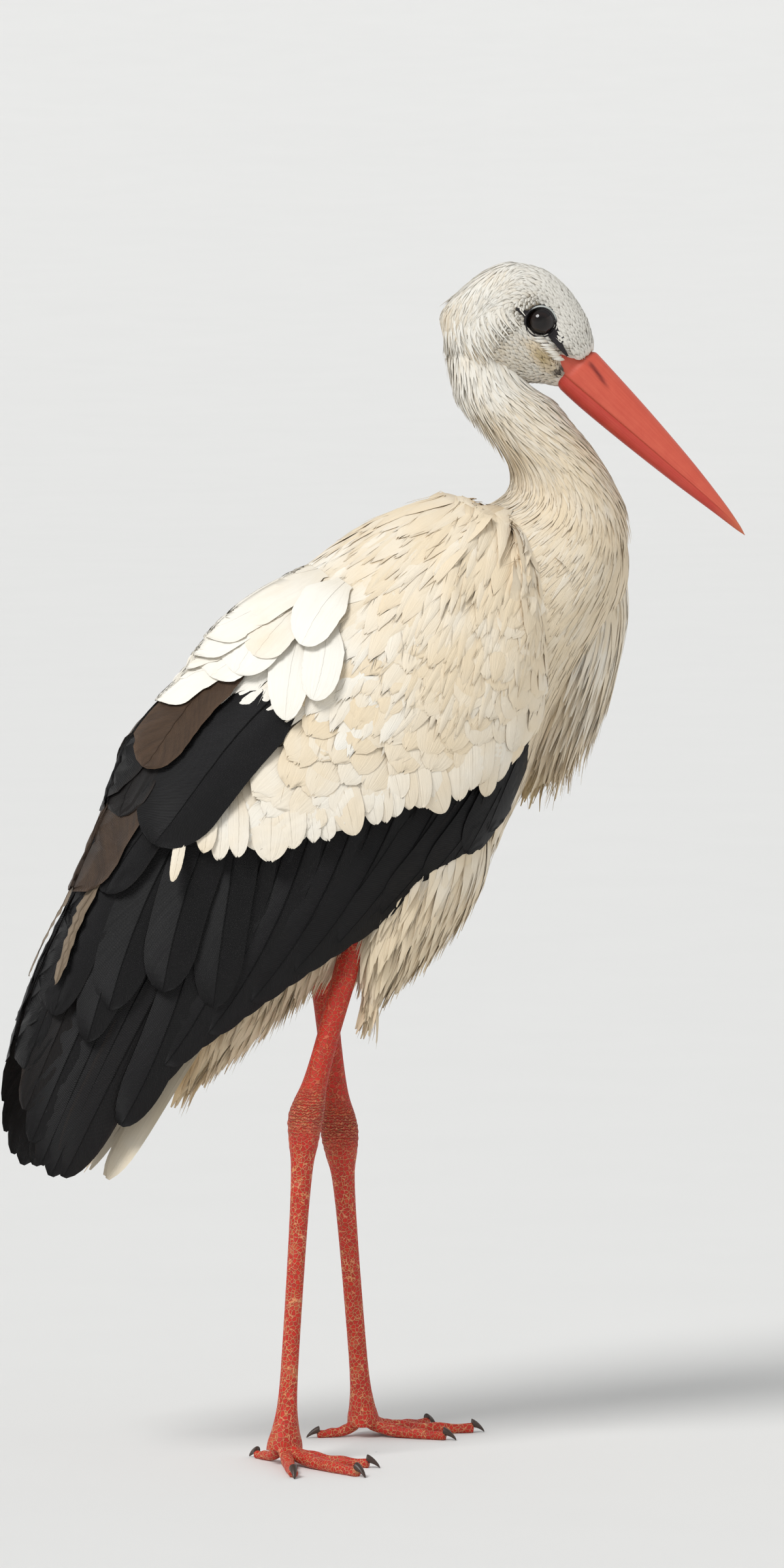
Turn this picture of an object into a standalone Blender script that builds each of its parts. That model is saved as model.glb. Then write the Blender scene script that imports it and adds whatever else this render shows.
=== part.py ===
"""A white stork standing at rest with its neck drawn in, life size, as a still museum model.

Units are metres and +Z is up. The bird faces +X, so its right side is at -Y. The origin is on
the floor, under the middle of the bird's box. Run with blender --background --python part.py.

The trunk and neck are one loft through stations that each join a point on the back line to a
point on the front line. The folded wings are one envelope round the trunk, hollowed by it, and
then parted in side view into feather groups. Neighbours keep a gap of GAP.
"""

import math

import bmesh
import bpy
import numpy as np

GAP = 0.0004
SIDES = 18
LEG_SIDES = 10
RIGHT, LEFT = -1, 1
SIDE_NAMES = {RIGHT: "right", LEFT: "left"}

# Trunk and neck, from under the tail to inside the head:
# back X, back Z, front X, front Z, half width.
BODY_STATIONS = (
    (-0.128, 0.292, -0.112, 0.278, 0.006),
    (-0.112, 0.330, -0.083, 0.298, 0.017),
    (-0.095, 0.385, -0.052, 0.328, 0.034),
    (-0.083, 0.435, -0.010, 0.350, 0.052),
    (-0.061, 0.489, 0.040, 0.372, 0.066),
    (-0.031, 0.543, 0.078, 0.412, 0.076),
    (-0.002, 0.589, 0.102, 0.455, 0.081),
    (0.026, 0.623, 0.121, 0.500, 0.081),
    (0.053, 0.647, 0.147, 0.542, 0.077),
    (0.078, 0.661, 0.176, 0.583, 0.070),
    (0.096, 0.668, 0.188, 0.622, 0.061),
    (0.104, 0.677, 0.186, 0.656, 0.051),
    (0.102, 0.691, 0.173, 0.685, 0.043),
    (0.093, 0.705, 0.159, 0.706, 0.037),
    (0.081, 0.719, 0.146, 0.722, 0.033),
    (0.066, 0.735, 0.134, 0.737, 0.031),
    (0.061, 0.750, 0.118, 0.749, 0.028),
    (0.057, 0.772, 0.108, 0.768, 0.022),
)
BODY_RINGS = 29
NECK_BASE_STATION, NECK_TOP_STATION = 10, 15

# The head turns to the right about a vertical axis through the nape, and the neck shares the turn.
HEAD_TURN = math.radians(-18)
TURN_AXIS_X = 0.101
EYE_ALONG, EYE_HEIGHT = 0.022, 0.794
BILL_DIP = math.radians(44.5)
# The head, along the bill's direction from the eye: distance, top, underside, half width.
HEAD_STATIONS = (
    (-0.0525, -0.0290, -0.0320, 0.002),
    (-0.0500, -0.0085, -0.0465, 0.0140),
    (-0.0425, 0.0100, -0.0535, 0.0215),
    (-0.0260, 0.0265, -0.0630, 0.0262),
    (-0.0040, 0.0300, -0.0590, 0.0258),
    (0.0200, 0.0253, -0.0410, 0.0208),
    (0.0340, 0.0180, -0.0290, 0.0158),
    (0.0430, 0.0122, -0.0252, 0.0132),
)
HEAD_RINGS = 12
HEAD_SIDES = 16
# The bill: distance from the eye, ridge, bite line, keel, half width.
BILL_STATIONS = (
    (0.0300, 0.0125, -0.0158, -0.0247, 0.0125),
    (0.0600, 0.0112, -0.0137, -0.0242, 0.0115),
    (0.1000, 0.0088, -0.0108, -0.0208, 0.0096),
    (0.1450, 0.0048, -0.0076, -0.0158, 0.0070),
    (0.1800, 0.0002, -0.0056, -0.0110, 0.0042),
    (0.2000, -0.0036, -0.0056, -0.0084, 0.0020),
    (0.2085, -0.0062, -0.0065, -0.0068, 0.0006),
)
BILL_RINGS = 10
BILL_SIDES = 10
EYE_RADIUS, EYE_SIDEWAYS = 0.0096, 0.0166

# The folded wings' envelope, from the shoulder to the wing tip, as the body's stations, with how
# square its section is: 2 is an oval.
WING_STATIONS = (
    (0.100, 0.652, 0.123, 0.606, 0.050, 2.0),
    (0.086, 0.667, 0.122, 0.556, 0.070, 2.0),
    (0.064, 0.674, 0.117, 0.505, 0.084, 2.0),
    (0.036, 0.669, 0.104, 0.464, 0.094, 2.0),
    (0.002, 0.655, 0.085, 0.424, 0.099, 2.0),
    (-0.031, 0.634, 0.060, 0.390, 0.100, 2.0),
    (-0.065, 0.608, 0.027, 0.362, 0.096, 2.0),
    (-0.101, 0.580, -0.007, 0.330, 0.089, 2.0),
    (-0.130, 0.545, -0.040, 0.300, 0.080, 2.0),
    (-0.158, 0.509, -0.072, 0.272, 0.071, 2.1),
    (-0.179, 0.473, -0.102, 0.246, 0.064, 2.3),
    (-0.196, 0.434, -0.128, 0.226, 0.059, 2.5),
    (-0.213, 0.394, -0.154, 0.209, 0.056, 2.7),
    (-0.234, 0.352, -0.178, 0.198, 0.054, 2.9),
    (-0.252, 0.305, -0.202, 0.192, 0.052, 3.0),
    (-0.264, 0.255, -0.223, 0.189, 0.049, 3.0),
    (-0.269, 0.212, -0.244, 0.190, 0.045, 3.0),
)
WING_RINGS = 23
WING_THICKNESS = 0.010
# Under the wings the body ends at this station; from OPEN_FROM on the two wings part.
HOLLOW_FROM, OPEN_FROM = 8, 12

# Side-view lines that part the wing, as X, Z points from the front to the tail end.
SCAPULAR_LINE = (
    (0.130, 0.655), (0.112, 0.625), (0.095, 0.590), (0.062, 0.566), (0.023, 0.553),
    (-0.034, 0.536), (-0.080, 0.512), (-0.108, 0.528), (-0.145, 0.527), (-0.190, 0.566),
)
COVERT_LINE = (
    (0.130, 0.520), (0.083, 0.496), (0.068, 0.476), (0.030, 0.458), (-0.013, 0.451),
    (-0.061, 0.436), (-0.099, 0.424), (-0.132, 0.428), (-0.158, 0.440),
)
TERTIAL_LINE = (
    (-0.070, 0.560), (-0.077, 0.520), (-0.100, 0.484), (-0.129, 0.455), (-0.158, 0.440),
    (-0.176, 0.432), (-0.196, 0.408), (-0.215, 0.393), (-0.260, 0.380),
)
SECONDARY_LINE = (
    (0.160, 0.200), (0.160, 0.600), (-0.100, 0.500), (-0.150, 0.455), (-0.159, 0.420),
    (-0.176, 0.400), (-0.181, 0.343), (-0.172, 0.330), (-0.158, 0.327), (-0.148, 0.313),
    (-0.127, 0.305), (-0.110, 0.270),
)
WING_EDGE = (
    (0.140, 0.520), (0.096, 0.502), (0.080, 0.470), (0.062, 0.437), (0.038, 0.414),
    (0.005, 0.396), (-0.024, 0.375), (-0.053, 0.357), (-0.081, 0.340), (-0.110, 0.320),
    (-0.138, 0.300), (-0.162, 0.285), (-0.186, 0.260), (-0.203, 0.228), (-0.217, 0.207),
    (-0.232, 0.197), (-0.248, 0.192), (-0.266, 0.194),
)

# The tail: X, Z, half thickness, half width.
TAIL_STATIONS = (
    (-0.066, 0.394, 0.010, 0.022),
    (-0.106, 0.340, 0.011, 0.032),
    (-0.157, 0.272, 0.010, 0.041),
    (-0.192, 0.224, 0.008, 0.045),
    (-0.209, 0.201, 0.004, 0.040),
)
# The plumes that hang from the breast: X, Z, half depth, half width of level rings.
PLUME_STATIONS = (
    (0.138, 0.605, 0.034, 0.052),
    (0.144, 0.570, 0.034, 0.052),
    (0.140, 0.535, 0.029, 0.046),
    (0.132, 0.505, 0.020, 0.034),
    (0.124, 0.486, 0.012, 0.020),
    (0.120, 0.476, 0.004, 0.008),
)
# The feathered thigh: X, Z, half depth, half width of level rings.
THIGH_STATIONS = (
    (0.034, 0.440, 0.044, 0.030),
    (0.026, 0.405, 0.043, 0.030),
    (0.013, 0.375, 0.036, 0.026),
    (0.000, 0.352, 0.025, 0.020),
    (-0.008, 0.333, 0.010, 0.009),
)
THIGH_Y = 0.042

# Each leg: the shank's top, the ankle and the foot as X, Y, Z, and the way the toes head.
LEGS = {
    RIGHT: ((-0.020, -0.040, 0.385), (-0.064, -0.045, 0.240), (-0.082, -0.054, 0.009), -68),
    LEFT: ((-0.030, 0.040, 0.385), (-0.012, 0.038, 0.219), (0.012, 0.058, 0.009), -6),
}
# Along the leg: share of the shank or, from 1 on, of the tarsus, half depth, half width.
LEG_STATIONS = (
    (0.00, 0.0105, 0.0095),
    (0.30, 0.0092, 0.0082),
    (0.62, 0.0082, 0.0074),
    (0.82, 0.0092, 0.0082),
    (0.93, 0.0126, 0.0104),
    (1.00, 0.0134, 0.0112),
    (1.07, 0.0112, 0.0098),
    (1.15, 0.0082, 0.0074),
    (1.35, 0.0069, 0.0060),
    (1.70, 0.0066, 0.0057),
    (1.85, 0.0072, 0.0066),
    (1.93, 0.0090, 0.0098),
    (1.97, 0.0108, 0.0128),
    (2.00, 0.0115, 0.0138),
)
ANKLE_FROM, ANKLE_TO = 0.88, 1.12
# Toes: name, angle from the foot's heading on the right foot, length, radius at the root.
TOES = (
    ("middle", 0, 0.076, 0.0054),
    ("inner", 32, 0.058, 0.0050),
    ("outer", -34, 0.062, 0.0050),
    ("back", 176, 0.030, 0.0044),
)
TOE_ROOT = 0.004
TOE_SIDES = 8
TOE_TAPER = 0.66
CLAW_LENGTH = 0.009

PLUMAGE, DARK, RED = (0.83, 0.77, 0.66), (0.018, 0.017, 0.017), (0.62, 0.10, 0.055)
FINISHES = {
    "white_feather": (PLUMAGE, 0.75),
    "black_feather": (DARK, 0.5),
    "bill_horn": ((0.60, 0.075, 0.045), 0.35),
    "leg_skin": (RED, 0.6),
    "claw_horn": ((0.10, 0.07, 0.055), 0.45),
    "eye_black": ((0.010, 0.008, 0.008), 0.05),
}


def clear_scene():
    for obj in list(bpy.data.objects):
        bpy.data.objects.remove(obj, do_unlink=True)


def make_materials():
    """One Principled material for each finish."""
    made = {}
    for name, (colour, roughness) in FINISHES.items():
        material = bpy.data.materials.new(name)
        material.use_nodes = True
        shader = material.node_tree.nodes["Principled BSDF"]
        shader.inputs["Base Color"].default_value = (*colour, 1.0)
        shader.inputs["Roughness"].default_value = roughness
        shader.inputs["Metallic"].default_value = 0.0
        made[name] = material
    return made


def smooth_rows(rows, count):
    """Count rows along a Catmull-Rom curve through the given rows."""
    rows = np.asarray(rows, float)
    padded = np.vstack([2 * rows[0] - rows[1], rows, 2 * rows[-1] - rows[-2]])
    place = np.linspace(0, len(rows) - 1, count)
    first = np.minimum(place.astype(int), len(rows) - 2)
    f = (place - first)[:, None]
    a, b, c, d = (padded[first + k] for k in range(4))
    return 0.5 * (
        2 * b + (c - a) * f + (2 * a - 5 * b + 4 * c - d) * f**2 + (3 * b - a - 3 * c + d) * f**3
    )


def object_from(name, mesh, collection):
    obj = bpy.data.objects.new(name, mesh)
    collection.objects.link(obj)
    return obj


def loft(name, rings, collection):
    """A closed mesh over rings of points, each joined to the next, with a flat face at each end."""
    mesh = bpy.data.meshes.new(name)
    form = bmesh.new()
    loops = [[form.verts.new(point) for point in ring] for ring in rings]
    sides = len(loops[0])
    for near, far in zip(loops, loops[1:]):
        for k in range(sides):
            form.faces.new((near[k], near[(k + 1) % sides], far[(k + 1) % sides], far[k]))
    form.faces.new(loops[0])
    form.faces.new(loops[-1])
    bmesh.ops.recalc_face_normals(form, faces=form.faces)
    form.to_mesh(mesh)
    form.free()
    return object_from(name, mesh, collection)


def oval_rings(centres, ups, sides_way, count=SIDES, square=2.0, turn=0.0):
    """Rings of count points: centre + up * cos + side * sin, squarer where square is over 2.

    Turn shifts the points round the ring, in steps from one point to the next.
    """
    angle = (np.arange(count) + turn)[None, :, None] * 2 * math.pi / count
    cosine, sine = np.cos(angle), np.sin(angle)
    power = 2 / np.reshape(square, (-1, 1, 1))
    cosine = np.sign(cosine) * np.abs(cosine) ** power
    sine = np.sign(sine) * np.abs(sine) ** power
    return centres[:, None] + ups[:, None] * cosine + sides_way[:, None] * sine


def station_rings(stations, count, grow=0.0):
    """Rings across a body in side view, each from its back point to its front point."""
    rows = smooth_rows(stations, count)
    back = np.column_stack([rows[:, 0], np.zeros(count), rows[:, 1]])
    front = np.column_stack([rows[:, 2], np.zeros(count), rows[:, 3]])
    half = (back - front) / 2
    length = np.linalg.norm(half, axis=1, keepdims=True)
    half = half * (1 + grow / length)
    across = np.zeros((count, 3))
    across[:, 1] = rows[:, 4] + grow
    square = rows[:, 5] if rows.shape[1] > 5 else 2.0
    return oval_rings((back + front) / 2, half, across, square=square)


def turned(points, share=1.0):
    """Points turned about the nape's vertical axis by a share of HEAD_TURN."""
    angle = np.asarray(share, float) * HEAD_TURN
    x, y = points[..., 0] - TURN_AXIS_X, points[..., 1]
    out = np.array(points, float)
    out[..., 0] = TURN_AXIS_X + x * np.cos(angle) - y * np.sin(angle)
    out[..., 1] = x * np.sin(angle) + y * np.cos(angle)
    return out


def body_rings(grow=0.0):
    rings = station_rings(BODY_STATIONS, BODY_RINGS, grow)
    station = np.linspace(0, len(BODY_STATIONS) - 1, BODY_RINGS)
    up_neck = np.clip((station - NECK_BASE_STATION) / (NECK_TOP_STATION - NECK_BASE_STATION), 0, 1)
    return turned(rings, (up_neck**2 * (3 - 2 * up_neck))[:, None])


def head_point(along, height, side=0.0):
    """A point given along the bill's direction from the eyes, above it, and to the left."""
    cosine, sine = math.cos(BILL_DIP), math.sin(BILL_DIP)
    x = TURN_AXIS_X + EYE_ALONG + along * cosine + height * sine
    z = EYE_HEIGHT - along * sine + height * cosine
    return turned(np.stack(np.broadcast_arrays(x, side, z), axis=-1))


def head_rings(grow=0.0):
    rows = smooth_rows(HEAD_STATIONS, HEAD_RINGS)
    rows[0, 0] -= grow
    rows[-1, 0] += grow
    angle = np.linspace(0, 2 * math.pi, HEAD_SIDES, endpoint=False)[None]
    middle, half = (rows[:, 1] + rows[:, 2]) / 2, (rows[:, 1] - rows[:, 2]) / 2 + grow
    height = middle[:, None] + half[:, None] * np.cos(angle)
    side = (rows[:, 3, None] + grow) * np.sin(angle)
    return head_point(rows[:, 0, None], height, side)


def bill_rings(upper, grow=0.0):
    """Half-oval rings of one jaw: the flat side lies on the bite line, half a gap away from it."""
    rows = smooth_rows(BILL_STATIONS, BILL_RINGS)
    edge = rows[:, 1] if upper else rows[:, 3]
    away = 1 if upper else -1
    bite = rows[:, 2] + away * (GAP / 2 - grow)
    depth = np.abs(edge - rows[:, 2]) - GAP / 2 + 2 * grow
    angle = np.linspace(0, math.pi, BILL_SIDES)[None]
    height = bite[:, None] + away * np.maximum(depth, 0.0004)[:, None] * np.sin(angle)
    side = (rows[:, 4, None] + grow) * np.cos(angle)
    return head_point(rows[:, 0, None], height, side)


def level_rings(stations, count, y, grow=0.0):
    """Level oval rings round X, Z centres at a side distance y."""
    rows = smooth_rows(stations, count)
    centres = np.column_stack([rows[:, 0], np.full(count, y), rows[:, 1]])
    along, across = np.zeros((count, 3)), np.zeros((count, 3))
    along[:, 0], across[:, 1] = rows[:, 2] + grow, rows[:, 3] + grow
    return oval_rings(centres, along, across, HEAD_SIDES)


def tail_rings(grow=0.0):
    rows = smooth_rows(TAIL_STATIONS, 8)
    path = rows[:, :2]
    way = np.gradient(path, axis=0)
    way /= np.linalg.norm(way, axis=1, keepdims=True)
    centres = np.column_stack([path[:, 0], np.zeros(len(path)), path[:, 1]])
    ups, across = np.zeros_like(centres), np.zeros_like(centres)
    ups[:, 0], ups[:, 2] = way[:, 1] * (rows[:, 2] + grow), -way[:, 0] * (rows[:, 2] + grow)
    across[:, 1] = rows[:, 3] + grow
    return oval_rings(centres, ups, across, HEAD_SIDES)


def hollow_rings():
    """The space under the rear of the folded wings: the envelope, less the wings' thickness."""
    rows = np.array(WING_STATIONS[HOLLOW_FROM:])
    back, front = rows[:, 0:2].copy(), rows[:, 2:4].copy()
    way = (front - back) / np.linalg.norm(front - back, axis=1, keepdims=True)
    station = np.arange(HOLLOW_FROM, len(WING_STATIONS))[:, None]
    opened = np.clip((station - OPEN_FROM) / 2, 0, 1)
    rows[:, 0:2] = back + way * WING_THICKNESS * (1 - 4 * opened)
    rows[:, 2:4] = front + way * WING_THICKNESS
    rows[:, 4] -= WING_THICKNESS
    beyond = rows[-1] * 2 - rows[-2]
    return station_rings(np.vstack([rows, beyond]), WING_RINGS // 2)


def prism(name, outline, collection, y_from=-0.2, y_to=0.2):
    """An X, Z outline carried along Y, as a solid."""
    mesh = bpy.data.meshes.new(name)
    form = bmesh.new()
    base = form.faces.new([form.verts.new((x, y_from, z)) for x, z in outline])
    carried = bmesh.ops.extrude_face_region(form, geom=[base])["geom"]
    moved = [item for item in carried if isinstance(item, bmesh.types.BMVert)]
    bmesh.ops.translate(form, verts=moved, vec=(0, y_to - y_from, 0))
    bmesh.ops.recalc_face_normals(form, faces=form.faces)
    form.to_mesh(mesh)
    form.free()
    return object_from(name, mesh, collection)


def moved_outline(outline, distance):
    """An outline with each point moved outwards by about the distance."""
    points = np.array(outline, float)
    ahead = np.roll(points, -1, axis=0) - points
    area = (points[:, 0] * np.roll(points[:, 1], -1) - np.roll(points[:, 0], -1) * points[:, 1]).sum()
    normal = np.column_stack([ahead[:, 1], -ahead[:, 0]]) * math.copysign(1, area)
    normal /= np.linalg.norm(normal, axis=1, keepdims=True)
    corner = normal + np.roll(normal, 1, axis=0)
    return points + distance * corner / np.linalg.norm(corner, axis=1, keepdims=True)


def combine(obj, other, operation):
    """Applies a Boolean of obj with other, which stays."""
    modifier = obj.modifiers.new(operation.title(), "BOOLEAN")
    modifier.operation, modifier.object, modifier.solver = operation, other, "EXACT"
    graph = bpy.context.evaluated_depsgraph_get()
    made = bpy.data.meshes.new_from_object(obj.evaluated_get(graph))
    obj.modifiers.clear()
    obj.data = made
    return obj


def cut(obj, *others):
    for other in others:
        combine(obj, other, "DIFFERENCE")
    return obj


def copy_of(obj, name, collection):
    twin = object_from(name, obj.data.copy(), collection)
    return twin


def keep_largest(obj):
    """Drops the slivers that a cut leaves beside the main piece."""
    form = bmesh.new()
    form.from_mesh(obj.data)
    bmesh.ops.remove_doubles(form, verts=form.verts, dist=1e-6)
    left, groups = set(form.faces), []
    while left:
        group, edge_of = set(), [left.pop()]
        while edge_of:
            face = edge_of.pop()
            group.add(face)
            near = {f for edge in face.edges for f in edge.link_faces} & left
            left -= near
            edge_of.extend(near)
        groups.append(group)
    groups.sort(key=lambda faces: sum(face.calc_area() for face in faces))
    spare = [face for faces in groups[:-1] for face in faces]
    bmesh.ops.delete(form, geom=spare, context="FACES")
    form.to_mesh(obj.data)
    form.free()
    return obj


def split(obj, outline, name, collections):
    """Parts obj at a side-view outline: returns the piece inside it, and leaves obj the rest."""
    parts, cutters = collections
    inside = prism("inside", outline, cutters)
    wider = prism("wider", moved_outline(outline, GAP), cutters)
    piece = combine(copy_of(obj, name, parts), inside, "INTERSECT")
    cut(obj, wider)
    return keep_largest(piece)


def finish(obj, material):
    obj.data.materials.clear()
    obj.data.materials.append(material)
    obj.data.shade_smooth()
    obj.data.set_sharp_from_angle(angle=math.radians(40))


def build_body(collections, finishes):
    """Trunk, breast plumes and the two lengths of neck, with the space for head and thighs."""
    parts, cutters = collections
    trunk = loft("trunk", body_rings(), parts)
    head_room = loft("head_room", head_rings(GAP), cutters)
    upper_line = ((0.02, 0.716), (0.22, 0.690), (0.22, 0.83), (0.02, 0.83))
    lower_line = ((0.09, 0.6719), (0.115, 0.658), (0.21, 0.610), (0.24, 0.69), (0.02, 0.72), (0.06, 0.69))
    neck_upper = cut(split(trunk, upper_line, "neck_upper", collections), head_room)
    neck_lower = split(trunk, lower_line, "neck_lower", collections)
    body_room = loft("body_room", body_rings(GAP), cutters)
    plumes = cut(loft("breast_plumes", level_rings(PLUME_STATIONS, 9, 0.0), parts), body_room)
    for obj in (keep_largest(trunk), keep_largest(neck_upper), neck_lower, keep_largest(plumes)):
        finish(obj, finishes["white_feather"])
    return body_room


def build_head(collections, finishes):
    """Skull with its feathering, the two jaws and the eyes in their sockets."""
    parts, cutters = collections
    head = loft("head", head_rings(), parts)
    for name, upper in (("bill_upper", True), ("bill_lower", False)):
        finish(loft(name, bill_rings(upper), parts), finishes["bill_horn"])
        cut(head, loft(name + "_room", bill_rings(upper, GAP), cutters))
    for side, label in SIDE_NAMES.items():
        place = head_point(0.0, 0.0, side * EYE_SIDEWAYS)
        for name, radius, collection in (
            ("eye_" + label, EYE_RADIUS, parts),
            ("eye_room_" + label, EYE_RADIUS + GAP, cutters),
        ):
            mesh = bpy.data.meshes.new(name)
            form = bmesh.new()
            bmesh.ops.create_uvsphere(form, u_segments=12, v_segments=8, radius=radius)
            bmesh.ops.translate(form, verts=form.verts, vec=place)
            form.to_mesh(mesh)
            form.free()
            eyeball = object_from(name, mesh, collection)
            if collection is parts:
                finish(eyeball, finishes["eye_black"])
            else:
                cut(head, eyeball)
    finish(keep_largest(head), finishes["white_feather"])


def build_tail(collections, finishes, body_room):
    parts, cutters = collections
    tail = cut(loft("tail", tail_rings(), parts), body_room)
    finish(keep_largest(tail), finishes["white_feather"])
    return loft("tail_room", tail_rings(GAP), cutters)


def build_wings(collections, finishes, rooms, leg_rooms):
    """The mantle over both shoulders, then four feather groups on each side."""
    parts, cutters = collections
    envelope = loft("envelope", station_rings(WING_STATIONS, WING_RINGS), cutters)
    cut(envelope, *rooms, loft("under_wings", hollow_rings(), cutters))
    edge = list(WING_EDGE)
    above_edge = prism("above_edge", edge + [(-0.30, 0.15), (-0.30, 0.75), (0.14, 0.75)], cutters)
    combine(envelope, above_edge, "INTERSECT")
    mantle = split(envelope, list(SCAPULAR_LINE) + [(-0.19, 0.75), (0.13, 0.75)], "mantle", collections)
    finish(mantle, finishes["white_feather"])
    for side, label in SIDE_NAMES.items():
        y_from, y_to = (-0.2, -GAP / 2) if side == RIGHT else (GAP / 2, 0.2)
        sheet = ((-0.4, 0.1), (0.3, 0.1), (0.3, 0.8), (-0.4, 0.8))
        half = prism("half_" + label, sheet, cutters, y_from, y_to)
        wing = combine(copy_of(envelope, "wing_primaries_" + label, parts), half, "INTERSECT")
        cut(wing, *leg_rooms[side])
        tertials = list(TERTIAL_LINE) + [(-0.30, 0.38), (-0.30, 0.70), (-0.07, 0.70)]
        piece = split(wing, tertials, "wing_tertials_" + label, collections)
        finish(piece, finishes["black_feather"])
        coverts = list(COVERT_LINE) + [(-0.17, 0.60), (0.13, 0.70)]
        piece = split(wing, coverts, "wing_coverts_" + label, collections)
        finish(piece, finishes["white_feather"])
        piece = split(wing, SECONDARY_LINE, "wing_secondaries_" + label, collections)
        finish(piece, finishes["black_feather"])
        finish(keep_largest(wing), finishes["black_feather"])


def leg_rings(side, grow=0.0):
    """Rings along one leg, square to it, deeper along the foot's heading than across."""
    shank_top, ankle, foot, heading = LEGS[side]
    rows = smooth_rows(LEG_STATIONS, 2 * len(LEG_STATIONS) - 1)
    share = rows[:, 0, None]
    shank_top, ankle, foot = (np.array(p) for p in (shank_top, ankle, foot))
    path = np.where(
        share < 1, shank_top + (ankle - shank_top) * share, ankle + (foot - ankle) * (share - 1)
    )
    way = np.gradient(path, axis=0)
    way /= np.linalg.norm(way, axis=1, keepdims=True)
    fore = np.array([math.cos(math.radians(heading)), math.sin(math.radians(heading)), 0.0])
    across = np.cross(way, fore)
    across /= np.linalg.norm(across, axis=1, keepdims=True)
    depth = np.cross(across, way) * (rows[:, 1, None] + grow)
    rings = oval_rings(path, depth, across * (rows[:, 2, None] + grow), LEG_SIDES)
    rings[..., 2] = np.maximum(rings[..., 2], 0.0)
    return rings, share[:, 0]


def toe_rings(root, angle, length, radius, grow=0.0):
    """Rings of one toe: it leaves the foot a little raised, then lies flat with its sole at the floor."""
    along = np.linspace(0, 1, 7)
    way = np.array([math.cos(angle), math.sin(angle), 0.0])
    thick = radius * (1 - (1 - TOE_TAPER) * along) * (1 + 0.05 * np.cos(along * 6 * math.pi))
    centres = root + way * (along * length)[:, None]
    centres[:, 2] = thick * 0.85 + 0.006 * (1 - along) ** 4
    side = np.array([-way[1], way[0], 0.0])
    up = np.array([0.0, 0.0, 1.0])
    thick = thick[:, None] + grow
    rings = oval_rings(centres, up * thick, side * thick, TOE_SIDES, turn=0.5)
    rings[..., 2] = np.maximum(rings[..., 2], -grow)
    return rings


def claw_rings(tip, angle, radius):
    """A short claw that curves down to the floor from a toe's end."""
    along = np.linspace(0, 1, 4)
    way = np.array([math.cos(angle), math.sin(angle), 0.0])
    thick = radius * 0.72 * (1 - along) ** 0.7 + 0.0006
    centres = tip + way * (GAP + along * CLAW_LENGTH)[:, None]
    centres[:, 2] = radius * 1.05 * (1 - along**2) + thick * 0.95 + 0.0002
    side = np.array([-way[1], way[0], 0.0])
    rings = oval_rings(centres, np.array([0, 0, 1.0]) * thick[:, None], side * thick[:, None], 6)
    rings[..., 2] = np.maximum(rings[..., 2], 0.0003)
    return rings


def build_leg(side, collections, finishes, rooms):
    """Thigh, shank, ankle, tarsus and toes of one side."""
    parts, cutters = collections
    label = SIDE_NAMES[side]
    rings, share = leg_rings(side)
    leg_room = loft("leg_room_" + label, leg_rings(side, GAP)[0], cutters)
    thigh = loft("thigh_" + label, level_rings(THIGH_STATIONS, 9, side * THIGH_Y), parts)
    cut(thigh, *rooms, leg_room)
    finish(keep_largest(thigh), finishes["white_feather"])
    spans = (("shank_", -1, ANKLE_FROM), ("ankle_", ANKLE_FROM, ANKLE_TO), ("tarsus_", ANKLE_TO, 3))
    for name, start, end in spans:
        near = int(np.searchsorted(share, start))
        far = int(np.searchsorted(share, end)) + 1
        piece = rings[max(near, 0) : min(far, len(rings))].copy()
        if near > 0:
            way = piece[1].mean(axis=0) - piece[0].mean(axis=0)
            piece[0] += way / np.linalg.norm(way) * GAP
        shape = loft(name + label, piece, parts)
        if name == "shank_":
            cut(shape, *rooms)
        finish(keep_largest(shape), finishes["leg_skin"])
    foot, heading = np.array(LEGS[side][2]), LEGS[side][3]
    middle_room = None
    for name, spread, length, radius in TOES:
        angle = math.radians(heading - side * spread)
        way = np.array([math.cos(angle), math.sin(angle), 0.0])
        root = np.array([foot[0], foot[1], 0.0]) + way * TOE_ROOT
        toe = loft(f"toe_{name}_{label}", toe_rings(root, angle, length, radius), parts)
        cut(toe, leg_room, *([middle_room] if middle_room else []))
        if name == "middle":
            middle_room = loft("middle_room_" + label, toe_rings(root, angle, length, radius, GAP), cutters)
        finish(keep_largest(toe), finishes["leg_skin"])
        tip = root + way * length
        claw = loft(f"claw_{name}_{label}", claw_rings(tip, angle, radius * TOE_TAPER), parts)
        finish(claw, finishes["claw_horn"])
    thigh_room = loft("thigh_room_" + label, level_rings(THIGH_STATIONS, 9, side * THIGH_Y, GAP), cutters)
    return [thigh_room, leg_room]


def centre_on_origin(objects):
    """Moves every piece alike, so that the box's middle is over the origin."""
    corners = np.vstack([[v.co for v in obj.data.vertices] for obj in objects])
    middle = (corners.min(axis=0) + corners.max(axis=0)) / 2
    for obj in objects:
        obj.location = (-middle[0], -middle[1], 0.0)


def main():
    clear_scene()
    finishes = make_materials()
    parts = bpy.data.collections.new("white_stork")
    cutters = bpy.data.collections.new("cutters")
    for collection in (parts, cutters):
        bpy.context.scene.collection.children.link(collection)
    cutters.hide_render = True
    collections = (parts, cutters)
    body_room = build_body(collections, finishes)
    build_head(collections, finishes)
    tail_room = build_tail(collections, finishes, body_room)
    rooms = [body_room, tail_room]
    leg_rooms = {side: build_leg(side, collections, finishes, rooms) for side in SIDE_NAMES}
    build_wings(collections, finishes, rooms, leg_rooms)
    for obj in cutters.objects:
        obj.hide_render = True
        obj.display_type = "WIRE"
    centre_on_origin(list(parts.objects))


main()
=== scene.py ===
"""A life-size white stork, dressed over its solids: skin, feathers, bill, eyes, legs and claws.

Lengths are metres. The bird is worked out in its design frame, whose shapes follow the solids,
and each piece's points are then moved by OFFSET into the frame's own place. The bird faces +X
and its right side is at -Y. Every feather is a closed vane or strand: a path walked over a
surface, with a profile carried along it.
"""

import math

import bpy
import numpy as np
from mathutils import Matrix, Vector


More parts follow.
